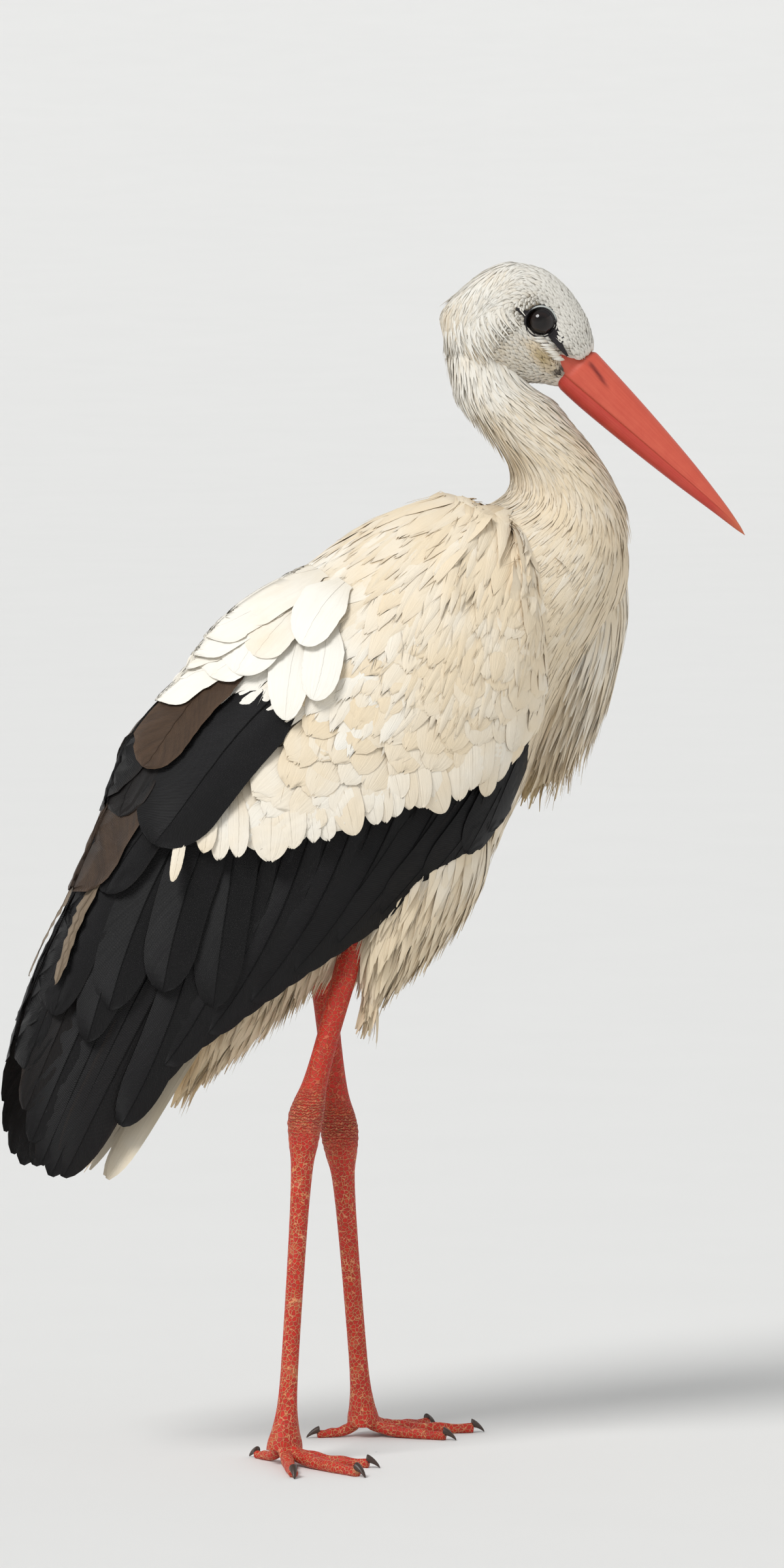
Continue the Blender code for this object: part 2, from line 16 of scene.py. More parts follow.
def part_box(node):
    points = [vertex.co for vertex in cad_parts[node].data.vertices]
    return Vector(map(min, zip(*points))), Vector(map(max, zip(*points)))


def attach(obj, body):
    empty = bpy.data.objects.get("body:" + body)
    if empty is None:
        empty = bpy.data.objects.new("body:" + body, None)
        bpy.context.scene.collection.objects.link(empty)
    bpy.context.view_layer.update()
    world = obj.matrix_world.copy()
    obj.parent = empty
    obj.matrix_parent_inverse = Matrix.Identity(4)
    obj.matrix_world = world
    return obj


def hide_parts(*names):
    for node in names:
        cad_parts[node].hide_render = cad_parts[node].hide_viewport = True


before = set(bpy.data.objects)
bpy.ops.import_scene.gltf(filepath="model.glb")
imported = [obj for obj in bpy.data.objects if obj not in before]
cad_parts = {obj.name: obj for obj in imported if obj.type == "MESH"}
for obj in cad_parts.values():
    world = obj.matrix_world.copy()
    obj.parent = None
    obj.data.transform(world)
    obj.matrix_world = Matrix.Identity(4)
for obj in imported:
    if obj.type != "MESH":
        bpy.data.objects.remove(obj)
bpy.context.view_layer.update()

bl_info = {
    "name": "White stork model",
    "version": (1, 0, 0),
    "blender": (4, 5, 0),
    "location": "View3D > Sidebar > Stork",
    "description": "Dresses a white stork's solids with skin, feathers, bill, eyes and legs",
    "category": "Object",
}

RIGHT, LEFT = -1, 1
SIDE_NAMES = {RIGHT: "right", LEFT: "left"}
TAU = 2 * math.pi

# The stations of the solids: trunk and neck, as back X, Z, front X, Z and half width.
BODY_STATIONS = (
    (-0.128, 0.292, -0.112, 0.278, 0.006),
    (-0.112, 0.330, -0.083, 0.298, 0.017),
    (-0.095, 0.385, -0.052, 0.328, 0.034),
    (-0.083, 0.435, -0.010, 0.350, 0.052),
    (-0.061, 0.489, 0.040, 0.372, 0.066),
    (-0.031, 0.543, 0.078, 0.412, 0.076),
    (-0.002, 0.589, 0.102, 0.455, 0.081),
    (0.026, 0.623, 0.121, 0.500, 0.081),
    (0.053, 0.647, 0.147, 0.542, 0.077),
    (0.078, 0.661, 0.176, 0.583, 0.070),
    (0.096, 0.668, 0.188, 0.622, 0.061),
    (0.104, 0.677, 0.186, 0.656, 0.051),
    (0.102, 0.691, 0.173, 0.685, 0.043),
    (0.093, 0.705, 0.159, 0.706, 0.037),
    (0.081, 0.719, 0.146, 0.722, 0.033),
    (0.066, 0.735, 0.134, 0.737, 0.031),
    (0.061, 0.750, 0.118, 0.749, 0.028),
    (0.057, 0.772, 0.108, 0.768, 0.022),
)
# One more station, inside the head, where the neck's coat ends.
NECK_INSIDE = (0.066, 0.795, 0.104, 0.790, 0.012)
# The neck turns towards the head between these two stations, about the nape's vertical axis.
NECK_BASE_STATION, NECK_TOP_STATION = 10, 15
HEAD_TURN = math.radians(-18)
TURN_AXIS_X = 0.101
# The eyes: ahead of that axis, above the floor, and to each side.
EYE_ALONG, EYE_HEIGHT, EYE_SIDEWAYS = 0.022, 0.794, 0.0166
# How far the head is hollowed round an eye, and how wide the hollow is.
SOCKET_DEPTH, SOCKET_WIDTH = 0.0048, 0.0135
BILL_DIP = math.radians(44.5)
# The head from the eye along the bill: distance, top, underside, half width.
HEAD_STATIONS = (
    (-0.0525, -0.0290, -0.0320, 0.002),
    (-0.0500, -0.0085, -0.0465, 0.0140),
    (-0.0425, 0.0100, -0.0535, 0.0215),
    (-0.0260, 0.0265, -0.0630, 0.0262),
    (-0.0040, 0.0300, -0.0590, 0.0258),
    (0.0200, 0.0253, -0.0410, 0.0208),
    (0.0340, 0.0180, -0.0290, 0.0158),
    (0.0430, 0.0122, -0.0252, 0.0132),
)
# The bill from the eye: distance, ridge, bite line, keel, half width.
BILL_STATIONS = (
    (0.0300, 0.0125, -0.0158, -0.0247, 0.0125),
    (0.0600, 0.0112, -0.0137, -0.0242, 0.0115),
    (0.1000, 0.0088, -0.0108, -0.0208, 0.0096),
    (0.1450, 0.0048, -0.0076, -0.0158, 0.0070),
    (0.1800, 0.0002, -0.0056, -0.0110, 0.0042),
    (0.2000, -0.0036, -0.0056, -0.0084, 0.0020),
    (0.2085, -0.0062, -0.0065, -0.0068, 0.0006),
)
BILL_ROOT = (0.0180, 0.0124, -0.0162, -0.0240, 0.0120)
# The folded wings' envelope, from shoulder to tip: back X, Z, front X, Z, half width, squareness.
WING_STATIONS = (
    (0.100, 0.652, 0.123, 0.606, 0.050, 2.0),
    (0.086, 0.667, 0.122, 0.556, 0.070, 2.0),
    (0.064, 0.674, 0.117, 0.505, 0.084, 2.0),
    (0.036, 0.669, 0.104, 0.464, 0.094, 2.0),
    (0.002, 0.655, 0.085, 0.424, 0.099, 2.0),
    (-0.031, 0.634, 0.060, 0.390, 0.100, 2.0),
    (-0.065, 0.608, 0.027, 0.362, 0.096, 2.0),
    (-0.101, 0.580, -0.007, 0.330, 0.089, 2.0),
    (-0.130, 0.545, -0.040, 0.300, 0.080, 2.0),
    (-0.158, 0.509, -0.072, 0.272, 0.071, 2.1),
    (-0.179, 0.473, -0.102, 0.246, 0.064, 2.3),
    (-0.196, 0.434, -0.128, 0.226, 0.059, 2.5),
    (-0.213, 0.394, -0.154, 0.209, 0.056, 2.7),
    (-0.234, 0.352, -0.178, 0.198, 0.054, 2.9),
    (-0.252, 0.305, -0.202, 0.192, 0.052, 3.0),
    (-0.264, 0.255, -0.223, 0.189, 0.049, 3.0),
    (-0.269, 0.212, -0.244, 0.190, 0.045, 3.0),
)
# Side-view lines on the wing, as X, Z: under the scapulars, under the coverts, and the wing's edge.
SCAPULAR_LINE = (
    (0.130, 0.655), (0.112, 0.625), (0.095, 0.590), (0.062, 0.566), (0.023, 0.553),
    (-0.034, 0.536), (-0.080, 0.512), (-0.108, 0.528), (-0.145, 0.527), (-0.190, 0.566),
)
COVERT_LINE = (
    (0.130, 0.520), (0.083, 0.496), (0.068, 0.476), (0.030, 0.458), (-0.013, 0.451),
    (-0.061, 0.436), (-0.099, 0.424), (-0.132, 0.428), (-0.158, 0.440),
)
WING_EDGE = (
    (0.140, 0.520), (0.096, 0.502), (0.080, 0.470), (0.062, 0.437), (0.038, 0.414),
    (0.005, 0.396), (-0.024, 0.375), (-0.053, 0.357), (-0.081, 0.340), (-0.110, 0.320),
    (-0.138, 0.300), (-0.162, 0.285), (-0.186, 0.260), (-0.203, 0.228), (-0.217, 0.207),
    (-0.232, 0.197), (-0.248, 0.192), (-0.266, 0.194),
)
# The tail: X, Z, half thickness, half width.
TAIL_STATIONS = (
    (-0.066, 0.394, 0.010, 0.022),
    (-0.106, 0.340, 0.011, 0.032),
    (-0.157, 0.272, 0.010, 0.041),
    (-0.192, 0.224, 0.008, 0.045),
    (-0.209, 0.201, 0.004, 0.040),
)
# The thigh: X, Z, half depth and half width of level rings.
THIGH_STATIONS = (
    (0.034, 0.440, 0.044, 0.030),
    (0.026, 0.405, 0.043, 0.030),
    (0.013, 0.375, 0.036, 0.026),
    (0.000, 0.352, 0.025, 0.020),
    (-0.008, 0.333, 0.010, 0.009),
)
THIGH_Y = 0.042
# Each leg: the shank's top, the ankle and the foot as X, Y, Z, and the way the toes head.
LEGS = {
    RIGHT: ((-0.020, -0.040, 0.385), (-0.064, -0.045, 0.240), (-0.082, -0.054, 0.009), -68),
    LEFT: ((-0.030, 0.040, 0.385), (-0.012, 0.038, 0.219), (0.012, 0.058, 0.009), -6),
}
# Along the leg: share of the shank or, from 1 on, of the tarsus, half depth, half width.
LEG_STATIONS = (
    (0.00, 0.0105, 0.0095),
    (0.30, 0.0092, 0.0082),
    (0.62, 0.0082, 0.0074),
    (0.82, 0.0092, 0.0082),
    (0.93, 0.0126, 0.0104),
    (1.00, 0.0134, 0.0112),
    (1.07, 0.0112, 0.0098),
    (1.15, 0.0082, 0.0074),
    (1.35, 0.0069, 0.0060),
    (1.70, 0.0066, 0.0057),
    (1.85, 0.0072, 0.0066),
    (1.93, 0.0090, 0.0098),
    (1.97, 0.0108, 0.0128),
    (2.00, 0.0115, 0.0138),
)
# Toes: name, angle from the foot's heading on the right foot, length, radius at the root.
TOES = (
    ("middle", 0, 0.076, 0.0054),
    ("inner", 32, 0.058, 0.0050),
    ("outer", -34, 0.062, 0.0050),
    ("back", 176, 0.030, 0.0044),
)
TOE_ROOT, TOE_TAPER, CLAW_LENGTH = 0.004, 0.66, 0.009


# ---------------------------------------------------------------- numbers and surfaces


def smooth_rows(rows, count):
    """Count rows along a Catmull-Rom curve through the given rows."""
    rows = np.asarray(rows, float)
    padded = np.vstack([2 * rows[0] - rows[1], rows, 2 * rows[-1] - rows[-2]])
    place = np.linspace(0, len(rows) - 1, count)
    first = np.minimum(place.astype(int), len(rows) - 2)
    f = (place - first)[:, None]
    a, b, c, d = (padded[first + k] for k in range(4))
    return 0.5 * (
        2 * b + (c - a) * f + (2 * a - 5 * b + 4 * c - d) * f**2 + (3 * b - a - 3 * c + d) * f**3
    )


def step(low, high, value):
    """A smooth rise from 0 at low to 1 at high: 3x^2 - 2x^3 of the share of the way."""
    x = np.clip((np.asarray(value, float) - low) / (high - low), 0, 1)
    return x * x * (3 - 2 * x)


def unit(vectors):
    return vectors / np.maximum(np.linalg.norm(vectors, axis=-1, keepdims=True), 1e-9)


def dot(a, b):
    return (a * b).sum(axis=-1, keepdims=True)


def bell(value, centre, width):
    """A bell curve: 1 at the centre, and 1/e at a width from it."""
    return np.exp(-(((value - centre) / width) ** 2))


def circle(sides):
    """Angles once round, as a row."""
    return np.linspace(0, TAU, sides, endpoint=False)[None]


def turned(points, share=1.0):
    """Points turned about the nape's vertical axis by a share of HEAD_TURN."""
    angle = np.asarray(share, float) * HEAD_TURN
    x, y = points[..., 0] - TURN_AXIS_X, points[..., 1]
    out = np.array(points, float)
    out[..., 0] = TURN_AXIS_X + x * np.cos(angle) - y * np.sin(angle)
    out[..., 1] = x * np.sin(angle) + y * np.cos(angle)
    return out


def head_point(along, height, side=0.0):
    """A point given along the bill's direction from the eyes, above it, and to the left."""
    cosine, sine = math.cos(BILL_DIP), math.sin(BILL_DIP)
    x = TURN_AXIS_X + EYE_ALONG + along * cosine + height * sine
    z = EYE_HEIGHT - along * sine + height * cosine
    return turned(np.stack(np.broadcast_arrays(x, side, z), axis=-1))


def section(angle, square):
    """Cosine and sine of the angle, pushed outwards where the section is squarer than an oval."""
    power = 2 / np.asarray(square, float)
    cosine, sine = np.cos(angle), np.sin(angle)
    return np.sign(cosine) * np.abs(cosine) ** power, np.sign(sine) * np.abs(sine) ** power


def station_rings(stations, count, sides):
    """Rings round a form given in side view: middle + (back - front) / 2 * cos + width * sin."""
    rows = smooth_rows(stations, count)
    square = rows[:, 5, None] if rows.shape[1] > 5 else 2.0
    cosine, sine = section(circle(sides), square)
    back, front = rows[:, None, 0:2], rows[:, None, 2:4]
    plane = (back + front) / 2 + (back - front) / 2 * cosine[..., None]
    return np.stack([plane[..., 0], rows[:, 4, None] * sine, plane[..., 1]], axis=-1)


def body_rings(count, sides, stations=BODY_STATIONS):
    """The trunk and neck, the neck's rings turned towards the head by their share."""
    rings = station_rings(stations, count, sides)
    station = np.linspace(0, len(stations) - 1, count)
    return turned(rings, step(NECK_BASE_STATION, NECK_TOP_STATION, station)[:, None])


def socket(along, height):
    """How far the head is hollowed round an eye: a bell curve over the distance from it."""
    return SOCKET_DEPTH * np.exp(-(along**2 + height**2) / SOCKET_WIDTH**2)


def head_rings(count, sides, fuller=0.0):
    """Ovals across the bill's direction, from the nape to the bill's root.

    Fuller raises the back of the crown. The ovals are hollowed round the eyes. At the front the
    feathering is drawn back over the bite line, by a bell curve over the height, so that a lobe
    is left on the forehead and one on the cheek.
    """
    rows = smooth_rows(HEAD_STATIONS, count)
    rows[:, 1] += fuller * bell(rows[:, 0], -0.047, 0.012)
    rows[:, 0] -= 0.6 * fuller * step(-0.030, -0.0525, rows[:, 0])
    angle = circle(sides)
    middle, half = (rows[:, 1] + rows[:, 2]) / 2, (rows[:, 1] - rows[:, 2]) / 2
    height = middle[:, None] + half[:, None] * np.cos(angle)
    along = rows[:, 0, None] + 0 * height
    side = rows[:, 3, None] * np.sin(angle)
    side = side - np.sign(side) * np.minimum(socket(along, height), np.abs(side))
    notch = bell(height, -0.0075, 0.0048)
    side = side * (1 - 0.20 * notch * step(0.010, 0.030, along)) * (1 - 0.16 * step(0.034, 0.043, along))
    along = along - 0.0135 * notch * step(0.016, 0.043, along)
    return head_point(along, height, side)


def level_rings(stations, count, sides, y):
    """Level ovals round X, Z middles at a side distance y."""
    rows = smooth_rows(stations, count)
    angle = circle(sides)
    x = rows[:, 0, None] + rows[:, 2, None] * np.cos(angle)
    z = np.broadcast_to(rows[:, 1, None], x.shape)
    return np.stack([x, y + rows[:, 3, None] * np.sin(angle), z], axis=-1)


class Surface:
    """A closed loft P(u, v): u runs from 0 at the first ring to 1 at the last, v once round it.

    Its points may be drawn in by a depth along the normals.
    """

    def __init__(self, rings, depth=0.0):
        self.rings = rings
        count, sides = rings.shape[:2]
        along = np.gradient(rings, 1 / (count - 1), axis=0)
        wrapped = np.concatenate([rings[:, -1:], rings, rings[:, :1]], axis=1)
        around = (wrapped[:, 2:] - wrapped[:, :-2]) * sides / 2
        normal = unit(np.cross(around, along))
        outward = rings - rings.mean(axis=1, keepdims=True)
        normal *= np.sign((normal * outward).sum())
        self.table = np.concatenate([rings - normal * depth, along, around, normal], axis=-1)

    def at(self, u, v):
        """Point, change along u, change round v and normal, each mixed from the four nearest."""
        count, sides = self.table.shape[:2]
        row, column = np.clip(u, 0, 1) * (count - 1), np.mod(v, 1) * sides
        i, j = np.minimum(row.astype(int), count - 2), column.astype(int) % sides
        f, g = (row - i)[..., None], (column - np.floor(column))[..., None]
        k = (j + 1) % sides
        near = self.table[i, j] * (1 - g) + self.table[i, k] * g
        far = self.table[i + 1, j] * (1 - g) + self.table[i + 1, k] * g
        mixed = near * (1 - f) + far * f
        point, along, around, normal = np.split(mixed, 4, axis=-1)
        return point, along, around, unit(normal)

    def roots(self, row_gap, side_gap, seed, jitter, span, keep):
        """Places u, v in staggered rows: rows a row_gap apart, places in them a side_gap apart.

        Each is moved a little. Keep tells from points and normals which ones stay.
        """
        random = np.random.RandomState(seed)
        middle = self.rings.mean(axis=1)
        gaps = np.linalg.norm(np.diff(self.rings, axis=0), axis=2).mean(axis=1)
        length = np.concatenate([[0], np.cumsum(gaps)])
        share = np.linspace(0, 1, len(middle))
        start, end = np.interp(span, share, length)
        rim = np.linalg.norm(np.diff(self.rings, axis=1, append=self.rings[:, :1]), axis=2).sum(axis=1)
        found_u, found_v = [], []
        place, odd = start, 0
        while place < end:
            u = np.interp(place, length, share)
            count = max(int(np.interp(u, share, rim) / side_gap), 3)
            shift = random.uniform(-jitter, jitter, (2, count))
            found_v.append((np.arange(count) + 0.5 * odd + shift[0]) / count)
            found_u.append(np.interp(place + shift[1] * row_gap, length, share))
            place += row_gap
            odd = 1 - odd
        u, v = np.concatenate(found_u), np.mod(np.concatenate(found_v), 1)
        if keep is None:
            return u, v
        point, _, _, normal = self.at(u, v)
        mask = keep(point, normal)
        return u[mask], v[mask]

    def walk(self, u, v, heading, length, steps):
        """Paths over the surface: each step goes a like distance along heading's tangent part.

        Past the surface's last ring a path goes straight on. Returns middles, normals and ways,
        as (path, step, 3) arrays.
        """
        u, v = np.array(u, float), np.array(v, float)
        stride = np.broadcast_to(np.asarray(length, float), u.shape)[:, None] / steps
        beyond = np.zeros((len(u), 3))
        found = []
        for _ in range(steps + 1):
            point, along, around, normal = self.at(u, v)
            way = heading(point, along, around, normal)
            way = unit(way - normal * dot(way, normal))
            found.append((point + beyond, normal, way))
            a, b, c = dot(along, along), dot(along, around), dot(around, around)
            p, q = dot(way, along), dot(way, around)
            det = np.maximum(a * c - b * b, 1e-12)
            du, dv = (p * c - q * b) / det * stride, (q * a - p * b) / det * stride
            moved = np.clip(u[:, None] + du, 0, 1)
            left = 1 - np.abs(moved - u[:, None]) / np.maximum(np.abs(du), 1e-9)
            beyond = beyond + way * stride * np.clip(left, 0, 1)
            u, v = moved[:, 0], v + (dv * np.clip(1 - left, 0, 1))[:, 0]
        return tuple(np.stack(part, axis=1) for part in zip(*found))


def side_height(line, x):
    """The height of a side-view line at x."""
    rows = np.array(sorted(line))
    return np.interp(x, rows[:, 0], rows[:, 1])


class WingSide:
    """The folded wings' envelope seen from the side: its half width as a function of X and Z.

    Its rows are those of WING_STATIONS, a little fuller at the back, and the back's normal.
    """

    # The furthest across a section that a point is laid, and how far the outline's points sink.
    MOST, SUNK = 0.9995, 0.002
    # In side view, a point up to NEAR from its section keeps its place; one FAR off is drawn in.
    NEAR, FAR = 0.0020, 0.0045

    def __init__(self):
        rows = smooth_rows(WING_STATIONS, 260)
        share = np.linspace(0, 1, len(rows))[:, None]
        rise = np.gradient(rows[:, 0:2], axis=0)
        normals = unit(np.stack([rise[:, 1], -rise[:, 0]], axis=-1))
        rows[:, 0:2] += normals * (0.0050 * step(0.49, 0.56, share) + 0.0040 * bell(share, 0.59, 0.03))
        self.rows = np.hstack([rows, normals])

    def place(self, x, z):
        """Row u and share c from -1 at the front to 1 at the back, where the section passes X, Z.

        The section is found as the one whose side-view line passes nearest the point.
        """
        x, z = np.asarray(x, float), np.asarray(z, float)
        rows = self.rows
        middle = (rows[:, 0:2] + rows[:, 2:4]) / 2
        half = (rows[:, 0:2] - rows[:, 2:4]) / 2
        size = np.linalg.norm(half, axis=1)
        away = np.stack([x.ravel(), z.ravel()], axis=1)[:, None] - middle[None]
        across = (away * half).sum(axis=2) / size**2
        off = np.abs(away[..., 0] * half[:, 1] - away[..., 1] * half[:, 0]) / size
        off = off + np.maximum(np.abs(across) - 1, 0) * size
        best = off.argmin(axis=1)
        c = across[np.arange(len(best)), best]
        return (best / (len(rows) - 1)).reshape(x.shape), c.reshape(x.shape)

    def row(self, u):
        """The row at u, mixed from the two nearest."""
        share = np.linspace(0, 1, len(self.rows))
        return np.stack([np.interp(u, share, column) for column in self.rows.T], axis=-1)

    def onto(self, x, z, height):
        """Points on the envelope nearest X, Z in side view, moved out by a height: X, half width, Z.

        Near the back's outline they're moved out along the outline's normal. The half width at
        share c of a section is width * (1 - |c|^square)^(1/square).
        """
        u, c = self.place(x, z)
        c = np.clip(c, -self.MOST, self.MOST)
        row = self.row(u)
        middle, half = (row[..., 0:2] + row[..., 2:4]) / 2, (row[..., 0:2] - row[..., 2:4]) / 2
        place = middle + half * c[..., None]
        away = np.stack([x, z], axis=-1) - place
        place = place + away * step(self.FAR, self.NEAR, np.linalg.norm(away, axis=-1, keepdims=True))
        wide = row[..., 4] * (1 - np.abs(c) ** row[..., 5]) ** (1 / row[..., 5])
        out = np.maximum(height, -self.SUNK) + self.SUNK
        place = place + row[..., 6:8] * (out * (c > 0) * np.abs(c) ** 6)[..., None]
        return place[..., 0], np.maximum(wide + height * (1 - np.abs(c) ** 8), 0.0015), place[..., 1]

    def covers(self, points, margin):
        """True where a point lies inside the envelope by more than the margin."""
        u, c = self.place(points[..., 0], points[..., 2])
        row = self.row(u)
        width = row[..., 4] * np.maximum(1 - np.abs(c) ** row[..., 5], 0.0) ** (1 / row[..., 5])
        return (np.abs(c) < 0.97) & (np.abs(points[..., 1]) < width - margin)


# From the design frame to the frame's own place: both hold the right eye.
OFFSET = np.array(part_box("eye_right")).mean(axis=0) - head_point(0.0, 0.0, -EYE_SIDEWAYS)


# ---------------------------------------------------------------- meshes


class Batch:
    """Many like small bodies: points (n, p, 3), lists of one body's faces, and named numbers.

    The numbers are given as one for all, one for each body, or one for each point.
    """

    def __init__(self, points, faces, **values):
        self.points = points
        self.faces = faces if isinstance(faces, tuple) else (faces,)
        self.values = {}
        for name, value in values.items():
            value = np.asarray(value, float)
            value = value[:, None] if value.ndim == 1 else value
            self.values[name] = np.broadcast_to(value, points.shape[:2])

    def outward_faces(self):
        """The face lists, turned outwards by the sign of the bodies' volume."""
        volume = 0.0
        for faces in self.faces:
            a, b, c = (self.points[:, faces[:, k]] for k in (0, 1, 2))
            volume += (a * np.cross(b, c)).sum()
            if faces.shape[1] == 4:
                volume += (a * np.cross(c, self.points[:, faces[:, 3]])).sum()
        return [faces if volume > 0 else faces[:, ::-1] for faces in self.faces]


def grid_faces(rows, columns, wrap=False):
    """Corner numbers of a grid's quads, in order, closed round the columns if wrap is true."""
    i, j = np.meshgrid(np.arange(rows - 1), np.arange(columns if wrap else columns - 1), indexing="ij")
    k = (j + 1) % columns
    near, far = i * columns, (i + 1) * columns
    return np.stack([near + j, near + k, far + k, far + j], -1).reshape(-1, 4)


def vane_faces(rows, columns):
    """A closed lens of two sheets that share their rim: the quads, and the under sheet's points.

    The top sheet is a rows x columns grid. The under sheet's inner points follow it in order.
    """
    top = grid_faces(rows, columns)
    number = np.arange(rows * columns).reshape(rows, columns)
    under = number.copy()
    inner = (rows - 2) * (columns - 2)
    under[1:-1, 1:-1] = rows * columns + np.arange(inner).reshape(rows - 2, columns - 2)
    return np.vstack([top, under.ravel()[top][:, ::-1]])


def lenses(top, inner, t, across, **values):
    """Closed lenses from their top sheets' grids and the inner points of their under sheets.

    Rim is 1 where the two sheets meet in a sharp edge, and 0 elsewhere.
    """
    count, rows, columns = top.shape[:3]
    rim = np.ones((rows, columns))
    rim[1:-1, 1:-1] = 0
    for name, grid in (("along", t[:, None]), ("across", across[None]), ("rim", rim)):
        grid = np.broadcast_to(grid, (rows, columns))
        values[name] = np.concatenate([grid.ravel(), grid[1:-1, 1:-1].ravel()])[None]
    points = np.concatenate([top.reshape(count, -1, 3), inner.reshape(count, -1, 3)], axis=1)
    return Batch(points, vane_faces(rows, columns), **values)


def vanes(paths, half_width, profile, columns, arch, thick, lift=0.0, fray=None, **values):
    """Closed feather vanes along walked paths.

    Across each path, b runs from -1 to 1: a point is middle + side * b * width + normal * height,
    with height = lift + arch * width * (1 - b^2). The under sheet lies lower by
    thick * (1 - b^2). Fray, a function of how many vanes there are, gives the share of its
    length by which each column's end is drawn back.
    """
    middles, normals, ways = paths
    count, rows = middles.shape[:2]
    across = np.linspace(-1, 1, columns)
    t = np.linspace(0, 1, rows)
    width = np.asarray(half_width, float).reshape(-1, 1, 1) * profile(t)[None, :, None]
    b = across[None, None]
    sides = np.cross(normals, ways)
    height = arch * width * (1 - b * b) + np.broadcast_to(lift, (count, rows))[..., None]
    points = (
        middles[:, :, None]
        + sides[:, :, None] * (b * width)[..., None]
        + normals[:, :, None] * height[..., None]
    )
    if fray is not None:
        length = np.linalg.norm(np.diff(middles, axis=1), axis=2).sum(axis=1)
        pull = fray(count)[:, None] * (t**6)[None, :, None] * length[:, None, None]
        points = points - ways[:, :, None] * pull[..., None]
    depth = (thick * (1 - across[1:-1] ** 2))[None, None, :, None]
    inner = points[:, 1:-1, 1:-1] - normals[:, 1:-1, None] * depth
    return lenses(points, inner, t, across, **values)


def strands(paths, half_width, profile, flat=0.45, lift=0.0, **values):
    """Closed hair-like strands: a low triangle carried along each path, ending in a point."""
    middles, normals, ways = paths
    count, rows = middles.shape[:2]
    t = np.linspace(0, 1, rows)
    width = np.asarray(half_width, float).reshape(-1, 1) * profile(t)[None]
    sides = np.cross(normals, ways)
    base = middles + normals * np.broadcast_to(lift, (count, rows))[..., None]
    corners = [
        base - sides * width[..., None],
        base + sides * width[..., None],
        base + normals * (width * flat * 2)[..., None],
    ]
    rings = np.stack([corner[:, :-1] for corner in corners], axis=2).reshape(count, -1, 3)
    points = np.concatenate([rings, base[:, -1:]], axis=1)
    quads = grid_faces(rows - 1, 3, wrap=True)[:, ::-1]
    tip, last = 3 * (rows - 1), 3 * (rows - 2)
    ends = [[last + 1, last, tip], [last + 2, last + 1, tip], [last, last + 2, tip], [0, 1, 2]]
    along = np.concatenate([np.repeat(t[:-1], 3), [1.0]])[None]
    across = np.concatenate([np.tile([-1.0, 1.0, 0.0], rows - 1), [0.3]])[None]
    return Batch(points, (quads, np.array(ends)), along=along, across=across, **values)


# The numbers that a material reads, the span and margin of the bake map, and a body's patch in it.
ATTRIBUTES = ("along", "across", "tint", "warm", "wear")
MAP_SPAN, MAP_MARGIN, PATCH = 0.98, 0.01, 0.003


def build_mesh(name, batches):
    """One mesh from batches, its numbers as point attributes, and a bake map from root places.

    Each body's patch in the map OFBake is PATCH across, at its root's place (place_u, place_v).
    """
    points, corners, totals, first = [], [], [], 0
    values = {key: [] for key in (*ATTRIBUTES, "rim", "place_u", "place_v")}
    for batch in batches:
        count, size = batch.points.shape[:2]
        start = first + np.arange(count)[:, None, None] * size
        for faces in batch.outward_faces():
            numbered = (start + faces[None]).reshape(-1, faces.shape[1])
            corners.append(numbered.ravel())
            totals.append(np.full(len(numbered), faces.shape[1]))
        points.append(batch.points.reshape(-1, 3))
        for key, parts in values.items():
            parts.append(batch.values.get(key, np.zeros((count, size))).ravel())
        first += count * size
    points, corners, totals = np.vstack(points) + OFFSET, np.concatenate(corners), np.concatenate(totals)
    values = {key: np.concatenate(parts) for key, parts in values.items()}
    starts = np.concatenate([[0], np.cumsum(totals)[:-1]])
    mesh = bpy.data.meshes.new(name)
    mesh.vertices.add(len(points))
    mesh.vertices.foreach_set("co", points.astype(np.float32).ravel())
    mesh.loops.add(len(corners))
    mesh.loops.foreach_set("vertex_index", corners.astype(np.int32))
    mesh.polygons.add(len(totals))
    mesh.polygons.foreach_set("loop_start", starts.astype(np.int32))
    mesh.polygons.foreach_set("use_smooth", np.ones(len(totals), bool))
    mesh.update(calc_edges=True)
    for key in ATTRIBUTES:
        write_numbers(mesh, key, values[key])
    ends = np.empty(len(mesh.edges) * 2, np.int32)
    mesh.edges.foreach_get("vertices", ends)
    sharp = (values["rim"][ends.reshape(-1, 2)] > 0.5).all(axis=1)
    mesh.attributes.new("sharp_edge", "BOOLEAN", "EDGE").data.foreach_set("value", sharp)
    uv = mesh.uv_layers.new(name="OFBake")
    spot_u = values["place_u"] * MAP_SPAN + MAP_MARGIN + (values["across"] * 0.5) * PATCH
    spot_v = values["place_v"] * MAP_SPAN + MAP_MARGIN + (values["along"] - 0.5) * PATCH
    spots = np.stack([spot_u, spot_v], axis=1)[corners]
    uv.uv.foreach_set("vector", spots.astype(np.float32).ravel())
    mesh.validate()
    return mesh


def write_numbers(mesh, name, numbers):
    """Writes one number for each point, in the attribute of that name."""
    if name not in mesh.attributes:
        mesh.attributes.new(name, "FLOAT", "POINT")
    mesh.attributes[name].data.foreach_set("value", numbers.astype(np.float32))


def piece(name, mesh, material, replaced=()):
    """A finished piece: an object at the origin that rides on the one body."""
    obj = bpy.data.objects.new(name, mesh)
    bpy.context.scene.collection.objects.link(obj)
    mesh.materials.clear()
    mesh.materials.append(material)
    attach(obj, "root")
    if replaced:
        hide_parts(*replaced)
    return obj


def white_piece(name, batches, plumage, *painted_crease_shade, replaced=()):
    """A piece of white feathers; plumage is its finish's name, and the colour after it the painted shade at the
    feathers' roots.
    """
    finish = white_finish(plumage, *painted_crease_shade)
    piece(name, build_mesh(name, batches), finish, replaced)


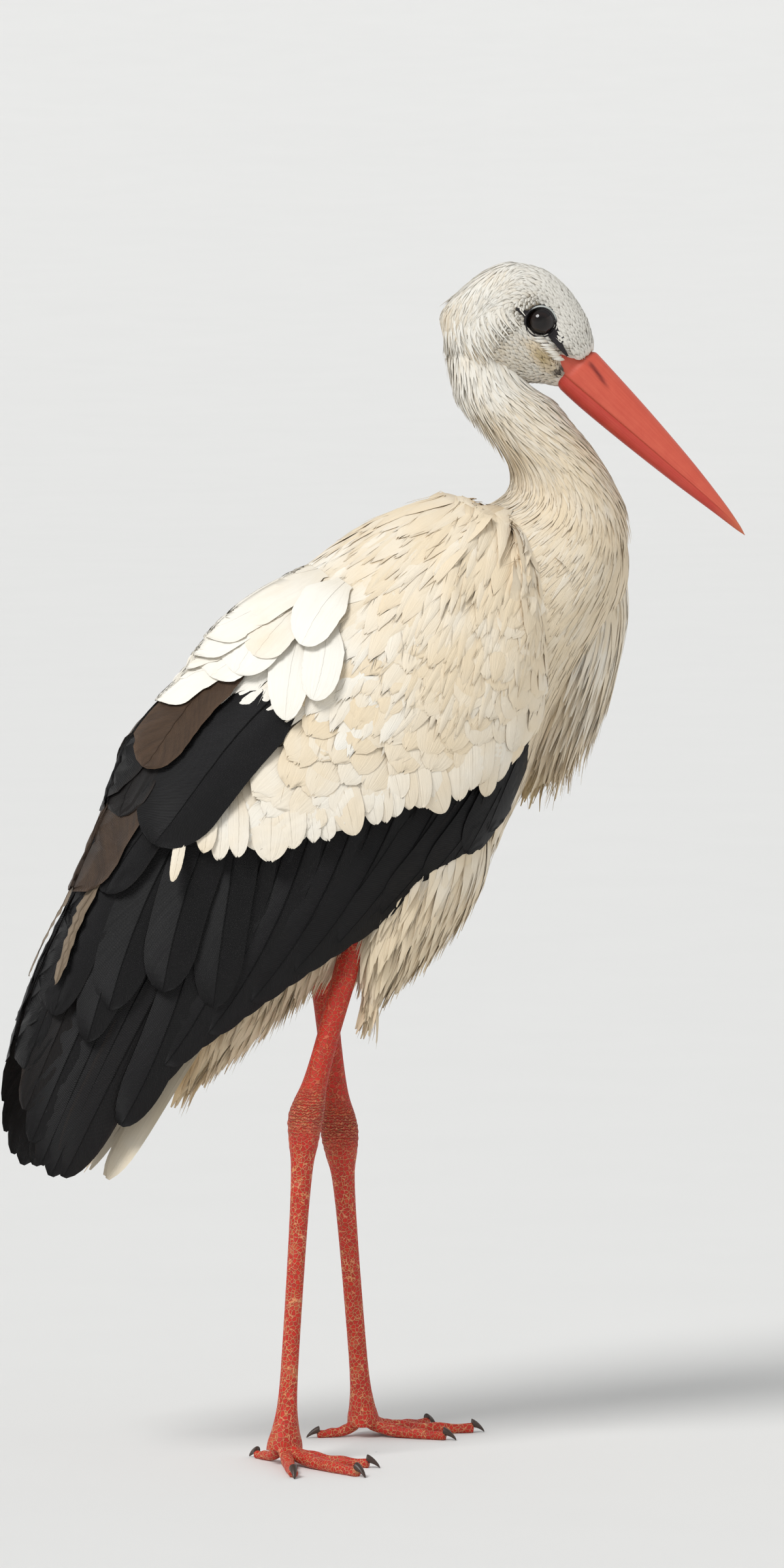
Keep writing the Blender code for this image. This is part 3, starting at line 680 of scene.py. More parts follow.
def closed_loft(rings):
    """A loft's points and faces, with a point in the middle of each end ring."""
    rows, sides = rings.shape[:2]
    points = np.vstack([rings.reshape(-1, 3), rings[0].mean(axis=0), rings[-1].mean(axis=0)])
    j = np.arange(sides)
    k = (j + 1) % sides
    near, far = rows * sides, rows * sides + 1
    last = (rows - 1) * sides
    caps = np.vstack([
        np.stack([np.full(sides, near), k, j], axis=1),
        np.stack([np.full(sides, far), last + j, last + k], axis=1),
    ])
    return points, (grid_faces(rows, sides, wrap=True), caps)


def loft_batch(rings, **values):
    """A closed loft as a batch of one body; its values are given per ring point."""
    points, faces = closed_loft(rings)
    rows, sides = rings.shape[:2]
    along = np.broadcast_to(np.linspace(0, 1, rows)[:, None], (rows, sides))
    around = np.broadcast_to(np.linspace(0, 1, sides, endpoint=False)[None], (rows, sides))
    laid = {"along": along, "across": around * 2 - 1, "place_u": around, "place_v": along, **values}
    full = {}
    for key, grid in laid.items():
        grid = np.broadcast_to(grid, (rows, sides))
        full[key] = np.concatenate([grid.ravel(), [grid[0].mean()], [grid[-1].mean()]])[None]
    return Batch(points[None], faces, **full)


def fused(name, batches, voxel, smooth):
    """Overlapping closed forms made one surface by a voxel remesh, then smoothed."""
    rough = build_mesh(name, batches)
    obj = bpy.data.objects.new(name, rough)
    bpy.context.scene.collection.objects.link(obj)
    remesh = obj.modifiers.new("Remesh", "REMESH")
    remesh.mode, remesh.voxel_size, remesh.use_smooth_shade = "VOXEL", voxel, True
    relax = obj.modifiers.new("Smooth", "SMOOTH")
    relax.factor, relax.iterations = 0.5, smooth
    graph = bpy.context.evaluated_depsgraph_get()
    mesh = bpy.data.meshes.new_from_object(obj.evaluated_get(graph))
    bpy.data.objects.remove(obj)
    mesh.name = name
    return mesh


# ---------------------------------------------------------------- shaders


class Value:
    """A node's output socket. Arithmetic on it adds Math nodes."""

    def __init__(self, shader, socket):
        self.shader, self.socket = shader, socket

    def math(self, operation, *others):
        return self.shader.node("ShaderNodeMath", {"operation": operation}, [self, *others])

    def __add__(self, other):
        return self.math("ADD", other)

    def __sub__(self, other):
        return self.math("SUBTRACT", other)

    def __mul__(self, other):
        return self.math("MULTIPLY", other)

    def __truediv__(self, other):
        return self.math("DIVIDE", other)

    def __rsub__(self, other):
        return self.shader.node("ShaderNodeMath", {"operation": "SUBTRACT"}, [other, self])

    __radd__, __rmul__ = __add__, __mul__

    def clamp(self):
        return self.shader.node("ShaderNodeClamp", {}, [self])

    def smooth(self, low, high):
        """A smooth rise from 0 at low to 1 at high."""
        return self.shader.node(
            "ShaderNodeMapRange", {"interpolation_type": "SMOOTHSTEP"}, [self, low, high, 0.0, 1.0]
        )


class Shader:
    """A Principled material that is built up from expressions."""

    def __init__(self, name, roughness=0.6, **constants):
        self.material = bpy.data.materials.new(name)
        self.material.use_nodes = True
        self.tree = self.material.node_tree
        self.surface = self.tree.nodes["Principled BSDF"]
        self.surface.inputs["Roughness"].default_value = roughness
        for label, value in constants.items():
            self.surface.inputs[label.replace("_", " ").title().replace("Ior", "IOR")].default_value = value

    def node(self, kind, settings, sockets, output=0):
        """A node of that kind: its settings are set first, then its sockets by number or name."""
        made = self.tree.nodes.new(kind)
        for label, value in settings.items():
            setattr(made, label, value)
        pairs = sockets.items() if isinstance(sockets, dict) else enumerate(sockets)
        for label, value in pairs:
            if isinstance(value, Value):
                self.tree.links.new(value.socket, made.inputs[label])
            elif value is not None:
                made.inputs[label].default_value = value
        return Value(self, made.outputs[output])

    def attribute(self, name):
        return self.node("ShaderNodeAttribute", {"attribute_name": name}, [], "Fac")

    def place(self):
        return self.node("ShaderNodeTexCoord", {}, [], "Object")

    def vector(self, x, y, z):
        return self.node("ShaderNodeCombineXYZ", {}, [x, y, z])

    def noise(self, where, scale, detail=2.0, rough=0.5):
        sockets = {"Vector": where, "Scale": scale, "Detail": detail, "Roughness": rough}
        return self.node("ShaderNodeTexNoise", {}, sockets, "Fac")

    def mix(self, share, one, other, blend="MIX"):
        """A colour part of the way from one to the other; either may be plain numbers."""
        one, other = (part if isinstance(part, Value) else (*part, 1.0) for part in (one, other))
        settings = {"data_type": "RGBA", "blend_type": blend}
        return self.node("ShaderNodeMix", settings, {0: share, 6: one, 7: other}, 2)

    def shaded(self, colour, shade):
        """A colour times a number."""
        return self.mix(1.0, colour, self.vector(shade, shade, shade), "MULTIPLY")

    def bump(self, height, distance, strength=1.0, below=None):
        sockets = {"Height": height, "Distance": distance, "Strength": strength, "Normal": below}
        return self.node("ShaderNodeBump", {}, sockets)

    def finish(self, colour=None, roughness=None, normal=None, coat=None):
        chosen = {"Base Color": colour, "Roughness": roughness, "Normal": normal, "Coat Weight": coat}
        for label, value in chosen.items():
            if value is not None:
                self.tree.links.new(value.socket, self.surface.inputs[label])
        return self.material


def times(colour, factor):
    return tuple(c * factor for c in colour)


def linear(red, green, blue):
    """A colour's light from its 0 to 255 screen values."""
    screen = np.array([red, green, blue]) / 255
    light = np.where(screen <= 0.04045, screen / 12.92, ((screen + 0.055) / 1.055) ** 2.4)
    return tuple(float(value) for value in light)


# ---------------------------------------------------------------- settings


def colour_property(name, description, value):
    return bpy.props.FloatVectorProperty(
        name=name, description=description, subtype="COLOR", size=3, min=0, max=1, default=value
    )


def length_property(name, description, value):
    return bpy.props.FloatProperty(
        name=name, description=description, default=value, min=0, unit="LENGTH", precision=4
    )


class StorkPlumage(bpy.types.PropertyGroup):
    """Colours and depths of the feather coat."""

    white: colour_property("White", "Clean white feathers", linear(243, 239, 229))
    cream: colour_property("Cream", "Feathers of neck, breast and coverts", linear(232, 214, 184))
    buff: colour_property("Buff", "Stained and shaded plumes", linear(184, 160, 106))
    black: colour_property("Black", "Flight feathers", linear(17, 16, 17))
    brown: colour_property("Brown", "Worn flight feathers", linear(88, 68, 52))
    # A dark brown that the wear number mixes into whole tufts of the face, below the lore and at the gape's corner.
    face_dark: colour_property("Soot", "Dark roots of the face's tufts", linear(52, 38, 30))
    head_depth: length_property("Head coat", "How deep the coat is on the head", 0.0020)
    neck_depth: length_property("Neck coat", "How deep the coat is on the neck", 0.0045)
    body_depth: length_property("Body coat", "How deep the coat is on the body", 0.0070)


class StorkBare(bpy.types.PropertyGroup):
    """Colours of bill, eyes, legs and claws."""

    # The upper jaw's lighter red is partly painted sheen; the deeper red is partly painted shade on the lower jaw and
    # painted shade in the nostril groove.
    bill: colour_property("Bill", "The upper jaw", linear(214, 98, 74))
    bill_deep_red_and_shade: colour_property("Bill, deep", "The lower jaw and the nostril", linear(186, 46, 38))
    bill_tip: colour_property("Bill tip", "The worn tip", linear(206, 124, 84))
    leg: colour_property("Leg", "Red between the scales", linear(188, 40, 26))
    scale: colour_property("Scale", "Pale raised net on the legs", linear(224, 160, 112))
    eye: colour_property("Eye", "Iris and pupil", linear(26, 17, 14))
    lid: colour_property("Lid", "Bare skin round the eye", linear(34, 30, 32))
    rim: colour_property("Lid rim", "Pale rim above the eye", linear(190, 194, 190))
    claw: colour_property("Claw", "Dark horn", linear(62, 46, 38))


class StorkStage(bpy.types.PropertyGroup):
    """Floor, light and camera."""

    floor: colour_property("Floor", "Plain pale floor", (0.78, 0.77, 0.75))
    distance: length_property("Camera distance", "From the camera to the bird", 7.0)
    key: bpy.props.FloatProperty(name="Key light", description="Strength of the broad key light", default=2.15, min=0)
    fill: bpy.props.FloatProperty(name="Fill light", description="Strength of the even light", default=0.50, min=0)


# ---------------------------------------------------------------- finishes


def feather_streaks(shader, fine=9.0, long=1.6):
    """Soft streaks that run along each feather, different on each one."""
    across, along, tint = (shader.attribute(name) for name in ("across", "along", "tint"))
    where = shader.vector(across * fine, along * long, tint * 57.0)
    return shader.noise(where, 1.0, 3.0, 0.6), across, along, tint


def white_finish(name, painted_crease_shade=(0.50, 0.40, 0.30)):
    """White to cream plumage: fine barbs along each feather, painted brown shade at the root, buff by region.

    The painted shade at the root shows only in the creases between feathers. The wear number mixes a tuft towards
    dark brown.
    """
    look = bpy.context.scene.stork_plumage
    shader = Shader(name, 0.74, sheen_weight=0.12, sheen_roughness=0.5, specular_ior_level=0.22)
    streaks, _, along, tint = feather_streaks(shader)
    warm, wear = shader.attribute("warm"), shader.attribute("wear")
    patches = shader.noise(shader.place(), 26.0, 3.0)
    soft = (warm + (patches - 0.5) * 0.55 + (tint - 0.5) * 0.22).clamp()
    colour = shader.mix(soft.smooth(0.0, 0.66), look.white, look.cream)
    colour = shader.mix((warm + (patches - 0.5) * 0.4).smooth(0.62, 1.3), colour, look.buff)
    # Painted shade: each feather is darkened towards its root by the crease colour, as if shaded by the feathers over
    # it.
    root = 1 - along.smooth(0.04, 0.42)
    colour = shader.mix(root * 0.75, colour, shader.mix(1.0, colour, painted_crease_shade, "MULTIPLY"))
    # The streaks vary the tone along the barbs; the last term is more painted shade, darker towards the root.
    shade = 1.02 - (streaks - 0.5) * 0.12 - (1 - along.smooth(0.2, 0.8)) * 0.05
    colour = shader.shaded(colour, shade)
    # The wear number mixes in dark brown; only the face's tufts, below the lore and at the gape's corner, have it.
    colour = shader.mix(wear.clamp(), colour, look.face_dark)
    return shader.finish(colour=colour, normal=shader.bump(streaks, 0.0007, 0.6))


def black_finish():
    """Black flight feathers: oblique barbs each side of the shaft, brown where worn or thin."""
    look = bpy.context.scene.stork_plumage
    shader = Shader("black_vane", 0.46, specular_ior_level=0.22)
    streaks, across, along, tint = feather_streaks(shader, 3.0, 7.0)
    wear = shader.attribute("wear")
    edge = across.math("ABSOLUTE")
    barbs = ((along * 150.0 - edge * 14.0) * TAU).math("SINE")
    oblique = shader.vector(edge * 5.0 - along * 22.0, tint * 31.0, along * 3.0)
    broken = shader.noise(oblique, 1.6, 3.0, 0.65)
    worn = (wear + (broken - 0.5) * 0.7 * wear + edge.smooth(0.8, 1.0) * 0.10).clamp()
    colour = shader.mix(worn.smooth(0.12, 0.95), look.black, look.brown)
    colour = shader.mix((wear - 1.0).clamp(), colour, look.cream)
    shade = 1 + (streaks - 0.5) * 0.4 + (tint - 0.5) * 0.2
    colour = shader.shaded(colour, shade)
    normal = shader.bump(barbs * 0.5 + broken * 0.8, 0.00035, 0.6)
    return shader.finish(colour=colour, roughness=0.40 + broken * 0.2, normal=normal)


def down_finish():
    """The skin under the coat, with its down: cream, a little darker than the feathers."""
    look = bpy.context.scene.stork_plumage
    shader = Shader("down", 0.85, sheen_weight=0.3)
    patches = shader.noise(shader.place(), 60.0, 4.0)
    colour = shader.mix(patches.smooth(0.3, 0.7), look.cream, times(look.cream, 0.86))
    return shader.finish(colour=colour, normal=shader.bump(shader.noise(shader.place(), 500.0, 3.0), 0.0012))


def bill_finish(deep):
    """Horn with fine streaks along it, paler and browner towards the tip. The lower jaw's deeper red is partly
    painted shade and the upper jaw's lighter red partly painted sheen; the nostril groove is darkened with painted
    shade.
    """
    look = bpy.context.scene.stork_bare
    shader = Shader("bill_horn_lower" if deep else "bill_horn_upper", 0.36, specular_ior_level=0.5)
    along, across, wear = (shader.attribute(name) for name in ("along", "across", "wear"))
    streaks = shader.noise(shader.vector(along * 9.0, across * 22.0, 0.0), 1.0, 4.0, 0.6)
    blots = shader.noise(shader.place(), 90.0, 3.0, 0.6)
    # The lower jaw takes the deeper red, partly painted shade; the upper jaw the lighter red, partly painted sheen.
    base, other = (look.bill_deep_red_and_shade, look.bill) if deep else (look.bill, look.bill_deep_red_and_shade)
    colour = shader.mix((streaks * 0.7 + blots * 0.5 - 0.35).clamp(), base, other)
    # Painted shade: where the wear number is set, in the nostril groove, the red is darkened.
    colour = shader.mix(wear.clamp(), colour, times(look.bill_deep_red_and_shade, 0.35))
    colour = shader.mix(along.smooth(0.66, 1.0) * 0.75, colour, look.bill_tip)
    normal = shader.bump(streaks + blots * 0.4, 0.0004, 0.6)
    return shader.finish(colour=colour, roughness=0.30 + streaks * 0.22, normal=normal)


def leg_finish():
    """Horny scales: a net of pale raised edges round red scales, broken and pulled out of square."""
    look = bpy.context.scene.stork_bare
    shader = Shader("leg_scales", 0.58, specular_ior_level=0.4)
    where = shader.place()
    bent = shader.noise(where, 420.0, 2.0)
    pull = shader.vector(bent * 0.0016, bent * 0.0011, bent * 0.0014)
    spot = shader.node("ShaderNodeVectorMath", {"operation": "ADD"}, [where, pull])
    cells = {"Vector": spot, "Scale": 340.0}
    net = shader.node("ShaderNodeTexVoronoi", {"feature": "DISTANCE_TO_EDGE"}, cells, "Distance")
    cell = shader.node("ShaderNodeTexVoronoi", {"feature": "F1"}, cells, "Color")
    pale = shader.attribute("warm")
    ridge = 1 - net.smooth(0.02, 0.12)
    up = shader.node("ShaderNodeSeparateXYZ", {}, [where], "Z")
    ankle = shader.attribute("wear")
    folds = ((up * 500.0 + bent * 2.4) * TAU).math("SINE")
    patches = shader.noise(where, 70.0, 3.0, 0.6)
    share = ridge * (0.22 + pale * 0.6) * (1 - ankle * 0.7) + (patches - 0.55) * pale * 1.2
    share = (share + ankle * (folds * 0.35 + 0.25)).clamp()
    colour = shader.mix(share, look.leg, look.scale)
    colour = shader.mix(0.12, colour, cell, "OVERLAY")
    height = ridge * 0.8 + patches * 0.4 + folds * ankle
    return shader.finish(colour=colour, normal=shader.bump(height, 0.0008, 0.9))


def eye_finish():
    """A glossy eye: near black, with a dark brown ring of fine rays."""
    look = bpy.context.scene.stork_bare
    shader = Shader("eye_gloss", 0.08, specular_ior_level=0.3, coat_weight=0.25, coat_roughness=0.02)
    across, along, wear = (shader.attribute(name) for name in ("across", "along", "wear"))
    rays = shader.noise(shader.vector(across * 40.0, along * 3.0, 0.0), 1.0, 2.0)
    ring = wear * (0.4 + rays * 0.9)
    colour = shader.mix(ring.clamp(), times(look.eye, 0.35), times(look.eye, 1.6))
    return shader.finish(colour=colour)


def lid_finish():
    """Bare black skin with fine grain, and a pale bluish rim above the eye."""
    look = bpy.context.scene.stork_bare
    shader = Shader("bare_skin", 0.5, specular_ior_level=0.35)
    grain = shader.noise(shader.place(), 900.0, 3.0, 0.6)
    dark = shader.mix(grain, times(look.lid, 0.5), times(look.lid, 1.6))
    colour = shader.mix(shader.attribute("warm").smooth(0.1, 0.7), dark, look.rim)
    return shader.finish(colour=colour, normal=shader.bump(grain, 0.0004, 0.5))


def claw_finish():
    """Dark horn, its colour varied by noise, with a fine grain."""
    look = bpy.context.scene.stork_bare
    shader = Shader("claw_gloss", 0.4)
    blots = shader.noise(shader.place(), 400.0, 3.0, 0.6)
    colour = shader.mix(blots, times(look.claw, 0.6), times(look.claw, 1.5))
    return shader.finish(colour=colour, normal=shader.bump(blots, 0.0003, 0.5))


# ---------------------------------------------------------------- places on the bird


def head_coords(points):
    """Distance along the bill's direction from the eyes, height above them, and side."""
    x, y = points[..., 0] - TURN_AXIS_X, points[..., 1]
    cosine, sine = math.cos(HEAD_TURN), math.sin(HEAD_TURN)
    ahead, side = x * cosine + y * sine - EYE_ALONG, y * cosine - x * sine
    rise = points[..., 2] - EYE_HEIGHT
    along = ahead * math.cos(BILL_DIP) - rise * math.sin(BILL_DIP)
    return along, ahead * math.sin(BILL_DIP) + rise * math.cos(BILL_DIP), side


def head_side(along, height):
    """The head's half width at a place in its side view: width * sqrt(1 - share of height^2)."""
    rows = smooth_rows(HEAD_STATIONS, 120)
    top, under, width = (np.interp(along, rows[:, 0], rows[:, k]) for k in (1, 2, 3))
    share = (height - (top + under) / 2) / ((top - under) / 2)
    return width * np.sqrt(np.maximum(1 - share**2, 0.0)) - socket(along, height)


def bare_reach(angle):
    """How far the bare skin reaches from the eye: a ring, a lore streak ahead, a short one behind."""

    def near(centre, width):
        away = np.degrees(np.angle(np.exp(1j * (angle - math.radians(centre)))))
        return bell(away, 0, width)

    lore = 0.0095 * near(5, 13) + 0.0165 * near(-8, 5)
    return 0.0108 + 0.0005 * near(108, 50) + lore + 0.0085 * near(196, 7)


def on_bare_skin(points):
    """True on the bare skin round the eyes."""
    along, height, side = head_coords(points)
    angle, away = np.arctan2(height, along), np.hypot(height, along)
    return (away < bare_reach(angle)) & (np.abs(side) > 0.008)


def in_head(points, margin):
    """True inside the head by more than the margin."""
    along, height, side = head_coords(points)
    inside = (along > HEAD_STATIONS[0][0] + margin) & (along < HEAD_STATIONS[-1][0])
    return inside & (np.abs(side) < head_side(along, height) - margin)


# Where the shoulders' plumes fan out from.
NAPE_FOOT = np.array([0.086, 0.0, 0.733])


def folded_rings(count, sides):
    """The wings' rings with the shoulder plumes' folds, which fan out from the foot of the nape.

    A fold's height is (1 - |sin(9 angle + bends)|)^2, strongest over the shoulder.
    """
    rings = station_rings(WING_STATIONS, count, sides)
    away = rings - NAPE_FOOT
    reach = np.linalg.norm(away[..., [0, 2]], axis=-1)
    angle = np.arctan2(-away[..., 2], -away[..., 0] + 0.5 * np.abs(away[..., 1]))
    wave = (1 - np.abs(np.sin(9.0 * angle + 9.0 * reach + 0.5 * np.sin(70 * reach)))) ** 2
    share = step(0.02, 0.06, reach) * step(0.17, 0.11, reach) * step(-0.05, 0.02, rings[..., 0])
    outward = unit(rings - rings.mean(axis=1, keepdims=True))
    return rings + outward * (0.0045 * wave * share)[..., None]


BODY = Surface(body_rings(300, 180, (*BODY_STATIONS, NECK_INSIDE)))
HEAD = Surface(head_rings(200, 160, fuller=0.0055))
WINGS = Surface(station_rings(WING_STATIONS, 260, 220))
SHOULDERS = Surface(folded_rings(260, 220))
WING_SIDE = WingSide()


def at_roots(value, place):
    """One number for each root: what a function says of its place, or the same for all."""
    return value(place) if callable(value) else np.full(len(place), value)


def bud(t):
    """A vane that widens quickly from its root and closes round at its tip."""
    root, tip = np.clip(t / 0.3, 0.10, 1), np.clip(1 - ((t - 0.55) / 0.45).clip(0) ** 2, 0.03, 1)
    return np.sqrt(root) * np.sqrt(tip)


def lance(t):
    """A vane that narrows slowly to a point."""
    return np.sqrt(np.clip(t / 0.2, 0.15, 1)) * np.clip((1 - t) / 0.62, 0.06, 1) ** 0.8


def hair(t):
    """A strand that narrows all the way."""
    return np.clip(1 - t, 0.0, 1) ** 0.5


def coat(surface, heading, gaps, seeds, length, width, depth, steps, profile=hair, jitter=0.32,
         span=(0.0, 1.0), keep=None, rise=0.001, swing=0.10, loose=0.0004, hang=None, warm=0.0,
         wear=0.0, **more):
    """Feathers on a surface drawn in by depth, each rising through the coat to its tip.

    Gaps, jitter, span, keep and the first seed place the roots. A share t along a feather it
    stands depth * (1 - (1 - t)^2) + rise * t^3 high, and up to loose * t^2 more or less. Swing
    turns the feathers to and fro about their heading. A hair is a strand, the rest are vanes;
    more holds what only vanes take.
    """
    u, v = surface.roots(*gaps, seeds[0], jitter, span, keep)
    count = len(u)
    random = np.random.RandomState(seeds[1])
    drawn_in = Surface(surface.rings, depth)
    place, _, _, outward = drawn_in.at(u, v)
    size = at_roots(length, place) * random.uniform(0.86, 1.14, count)
    broad = at_roots(width, place) * random.uniform(0.85, 1.15, count)
    turn = random.normal(0, 1, count)[:, None]

    def way(point, along, around, normal):
        main = heading(point, along, around, normal)
        return main + np.cross(normal, main) * turn * swing

    paths = drawn_in.walk(u, v, way, size, steps)
    t = np.linspace(0, 1, steps + 1)[None]
    if hang is not None:
        paths = hung(paths, hang(place, outward), size, t)
    lift = depth * (1 - (1 - t) ** 2) + rise * t**3 + random.uniform(-1, 1, count)[:, None] * t**2 * loose
    make = strands if profile is hair else vanes
    return make(paths, broad / 2, profile, lift=lift, tint=random.uniform(0, 1, count), place_u=v, place_v=u,
                warm=at_roots(warm, place), wear=at_roots(wear, place), **more)


def hung(paths, fall, size, t):
    """Paths that leave the surface: middle + share * t^1.5 * (root + way * length * t - middle).

    Fall holds each path's way in its first three numbers and its share, from 0 to 1, in the last.
    """
    middles, normals, _ = paths
    way, share = unit(fall[:, None, :3]), fall[:, None, 3:]
    straight = middles[:, :1] + way * (size[:, None] * t)[..., None]
    mixed = middles + share * t[..., None] ** 1.5 * (straight - middles)
    ways = unit(np.gradient(mixed, axis=1))
    return mixed, unit(normals - ways * dot(normals, ways)), ways


def hanging(way, share):
    """Each root's way to hang and its share, as hung takes them."""
    return np.concatenate([way, np.broadcast_to(share, way.shape[:-1])[..., None]], axis=-1)


# ---------------------------------------------------------------- ways the feathers lie


BILL_WAY = unit(head_point(1.0, 0.0) - head_point(0.0, 0.0))
DOWN = np.array([0.0, 0.0, -1.0])
FORE = np.array([1.0, 0.0, 0.0])


def head_way(point, along, around, normal):
    """Back over the crown, turning down over the nape and the cheeks."""
    ahead = head_coords(point)[0][..., None]
    over = step(-0.050, 0.004, ahead)
    return -BILL_WAY * (0.25 + over) + DOWN * (1 - over) * 0.9


def neck_way(point, along, around, normal):
    """Down the neck and over the breast."""
    return -unit(along)


def wing_way(point, along, around, normal):
    """Out from the foot of the nape, then back along the wing, and more downwards on its side."""
    away = point - NAPE_FOOT
    far = step(0.04, 0.17, np.linalg.norm(away, axis=-1, keepdims=True))
    side = step(0.03, 0.085, np.abs(point[..., 1:2]))
    fore = step(-0.14, 0.09, point[..., 0:1])
    back = unit(along) + DOWN * side * (0.15 + 1.15 * fore)
    return unit(away) * (1 - far) + unit(back) * far


def down_way(point, along, around, normal):
    """Down a form whose first ring is its highest."""
    return unit(along)


def fringe_way(normal):
    """Down from the head and a little forward, spread to the sides."""
    return DOWN + 0.24 * FORE + normal * np.array([0.05, 0.26, 0.0])


# ---------------------------------------------------------------- operators


class STORK_OT_skin(bpy.types.Operator):
    """Makes the one skin under the coat: trunk, neck, head, wings and thighs fused"""

    bl_idname = "stork.skin"
    bl_label = "Skin"

    def execute(self, context):
        look = context.scene.stork_plumage
        forms = [
            self.drawn_in(body_rings(90, 60), look.neck_depth + 0.001),
            self.drawn_in(head_rings(60, 48), look.head_depth + 0.0008),
            self.drawn_in(station_rings(WING_STATIONS[:9], 60, 60), look.body_depth + 0.002),
        ]
        low = side_height(COVERT_LINE, forms[2][..., 0]) + 0.012
        forms[2] = np.concatenate([forms[2][..., :2], np.maximum(forms[2][..., 2], low)[..., None]], axis=-1)
        for side in SIDE_NAMES:
            thigh = level_rings(THIGH_STATIONS, 30, 36, side * THIGH_Y)
            forms.append(self.drawn_in(thigh, 0.006))
        mesh = fused("skin", [loft_batch(form) for form in forms], voxel=0.0026, smooth=6)
        flesh = ["trunk", "neck_lower", "neck_upper", "head", "mantle", "breast_plumes"]
        flesh += ["thigh_right", "thigh_left", "wing_coverts_right", "wing_coverts_left"]
        piece("skin", mesh, down_finish(), flesh)
        return {"FINISHED"}

    def drawn_in(self, rings, depth):
        """The rings, moved in by a depth along their surface's normals."""
        return Surface(rings, depth).table[..., :3]


class STORK_OT_head_feathers(bpy.types.Operator):
    """Lays small tufts over the head, smallest at the face, with bristles under the lores"""

    bl_idname = "stork.head_feathers"
    bl_label = "Head feathers"

    def execute(self, context):
        depth = context.scene.stork_plumage.head_depth

        def keep(point, normal):
            ahead, _, _ = head_coords(point)
            inside = (normal[..., 2] < -0.86) & (ahead < 0.004)
            return ~on_bare_skin(point) & ~inside

        def length(point):
            ahead, height, _ = head_coords(point)
            rear = step(-0.010, -0.048, ahead)
            return 0.0072 + 0.0115 * rear + 0.020 * step(-0.022, -0.046, height) * step(0.004, -0.018, ahead)

        def fall(point, normal):
            ahead, _, _ = head_coords(point)
            share = step(0.35, -0.35, normal[..., 2]) * step(0.002, -0.018, ahead)
            return hanging(fringe_way(normal), 0.85 * share)

        def warm(point):
            ahead, height, _ = head_coords(point)
            stain = bell(ahead, 0.022, 0.012) * bell(height, -0.0165, 0.0045)
            return 0.02 + 0.34 * step(0.0, -0.045, height) + 0.10 * step(0.0, -0.05, ahead) + 0.95 * stain

        # Mixes the tufts towards dark brown below the lore and at the gape's corner.
        def wear(point):
            ahead, height, _ = head_coords(point)
            under_lore = bell(ahead, 0.019, 0.013) * bell(height, -0.0088, 0.0022)
            gape = bell(ahead, 0.0375, 0.0026) * bell(height, -0.0160, 0.0022)
            return np.clip(0.9 * under_lore + 1.5 * gape, 0, 0.9)

        batches = [
            coat(HEAD, head_way, gaps=(0.0025, 0.0020), seeds=(11, 12), span=(0.02, 0.992), keep=keep,
                 length=length, width=0.0034, depth=depth, steps=5, profile=lance, rise=0.0, swing=0.08,
                 loose=0.0002, hang=fall, warm=warm, wear=wear, columns=3, arch=0.10, thick=0.0003),
            coat(HEAD, head_way, gaps=(0.0044, 0.0036), seeds=(13, 14), span=(0.03, 0.97), keep=keep,
                 length=lambda p: length(p) * 1.15, width=0.0006, depth=depth, steps=3, rise=0.0003,
                 swing=0.16, hang=fall, warm=warm),
            *(self.bristles(side) for side in SIDE_NAMES),
            *self.nape(),
        ]
        # The last colour is the painted shade in the creases at the feathers' roots.
        white_piece("head_feathers", batches, "head_plumage", (0.86, 0.80, 0.72))
        return {"FINISHED"}

    def bristles(self, side, count=13):
        """Stiff white tufts in a row below the lore, each pointing back along the cheek."""
        random = np.random.RandomState(15 + side)
        share = np.linspace(0, 1, count)[:, None]
        t = np.linspace(0, 1, 7)[None]
        size = random.uniform(0.0085, 0.0120, (count, 1))
        uneven = random.uniform(-0.0007, 0.0007, (count, 1))
        along = 0.0105 + 0.0205 * share + uneven - size * 0.66 * t
        height = -0.0062 - 0.0012 * share - size * 0.66 * t + 0.0012 * t * t
        out = head_side(along, height) + 0.0002 + 0.0012 * np.sin(t * math.pi) + 0.0004 * t
        middles = head_point(along, height, side * out)
        ways = unit(np.gradient(middles, axis=1))
        outward = head_point(0.0, 0.0, side * 1.0) - head_point(0.0, 0.0, 0.0)
        normals = unit(outward - ways * dot(ways, outward))
        return vanes((middles, normals, ways), random.uniform(0.0006, 0.0010, count), lance, columns=3,
                     arch=0.3, thick=0.0004, warm=random.uniform(0.0, 0.15, count), tint=0.5,
                     place_u=0.5 + 0.2 * side, place_v=0.5 + share.ravel() * 0.1)

    def nape(self):
        """Loose pointed plumes that hang straight down from the back of the head."""

        def keep(point, normal):
            ahead, _, _ = head_coords(point)
            upright = (normal[..., 2] < 0.45) & (normal[..., 2] > -0.35)
            return (ahead < -0.022) & upright & (normal[..., 0] < 0.1)

        def fall(point, normal):
            return hanging(fringe_way(normal), 0.8)

        like = {"seeds": (16, 17), "jitter": 0.45, "span": (0.02, 0.5), "keep": keep, "depth": 0.0015,
                "steps": 7, "loose": 0.0022, "hang": fall, "warm": 0.10}
        return [
            coat(HEAD, head_way, gaps=(0.0042, 0.0040), length=0.026, width=0.0036, profile=lance,
                 columns=3, arch=0.12, thick=0.0003, **like),
            coat(HEAD, head_way, gaps=(0.0056, 0.0060), length=0.027, width=0.0008, **like),
        ]


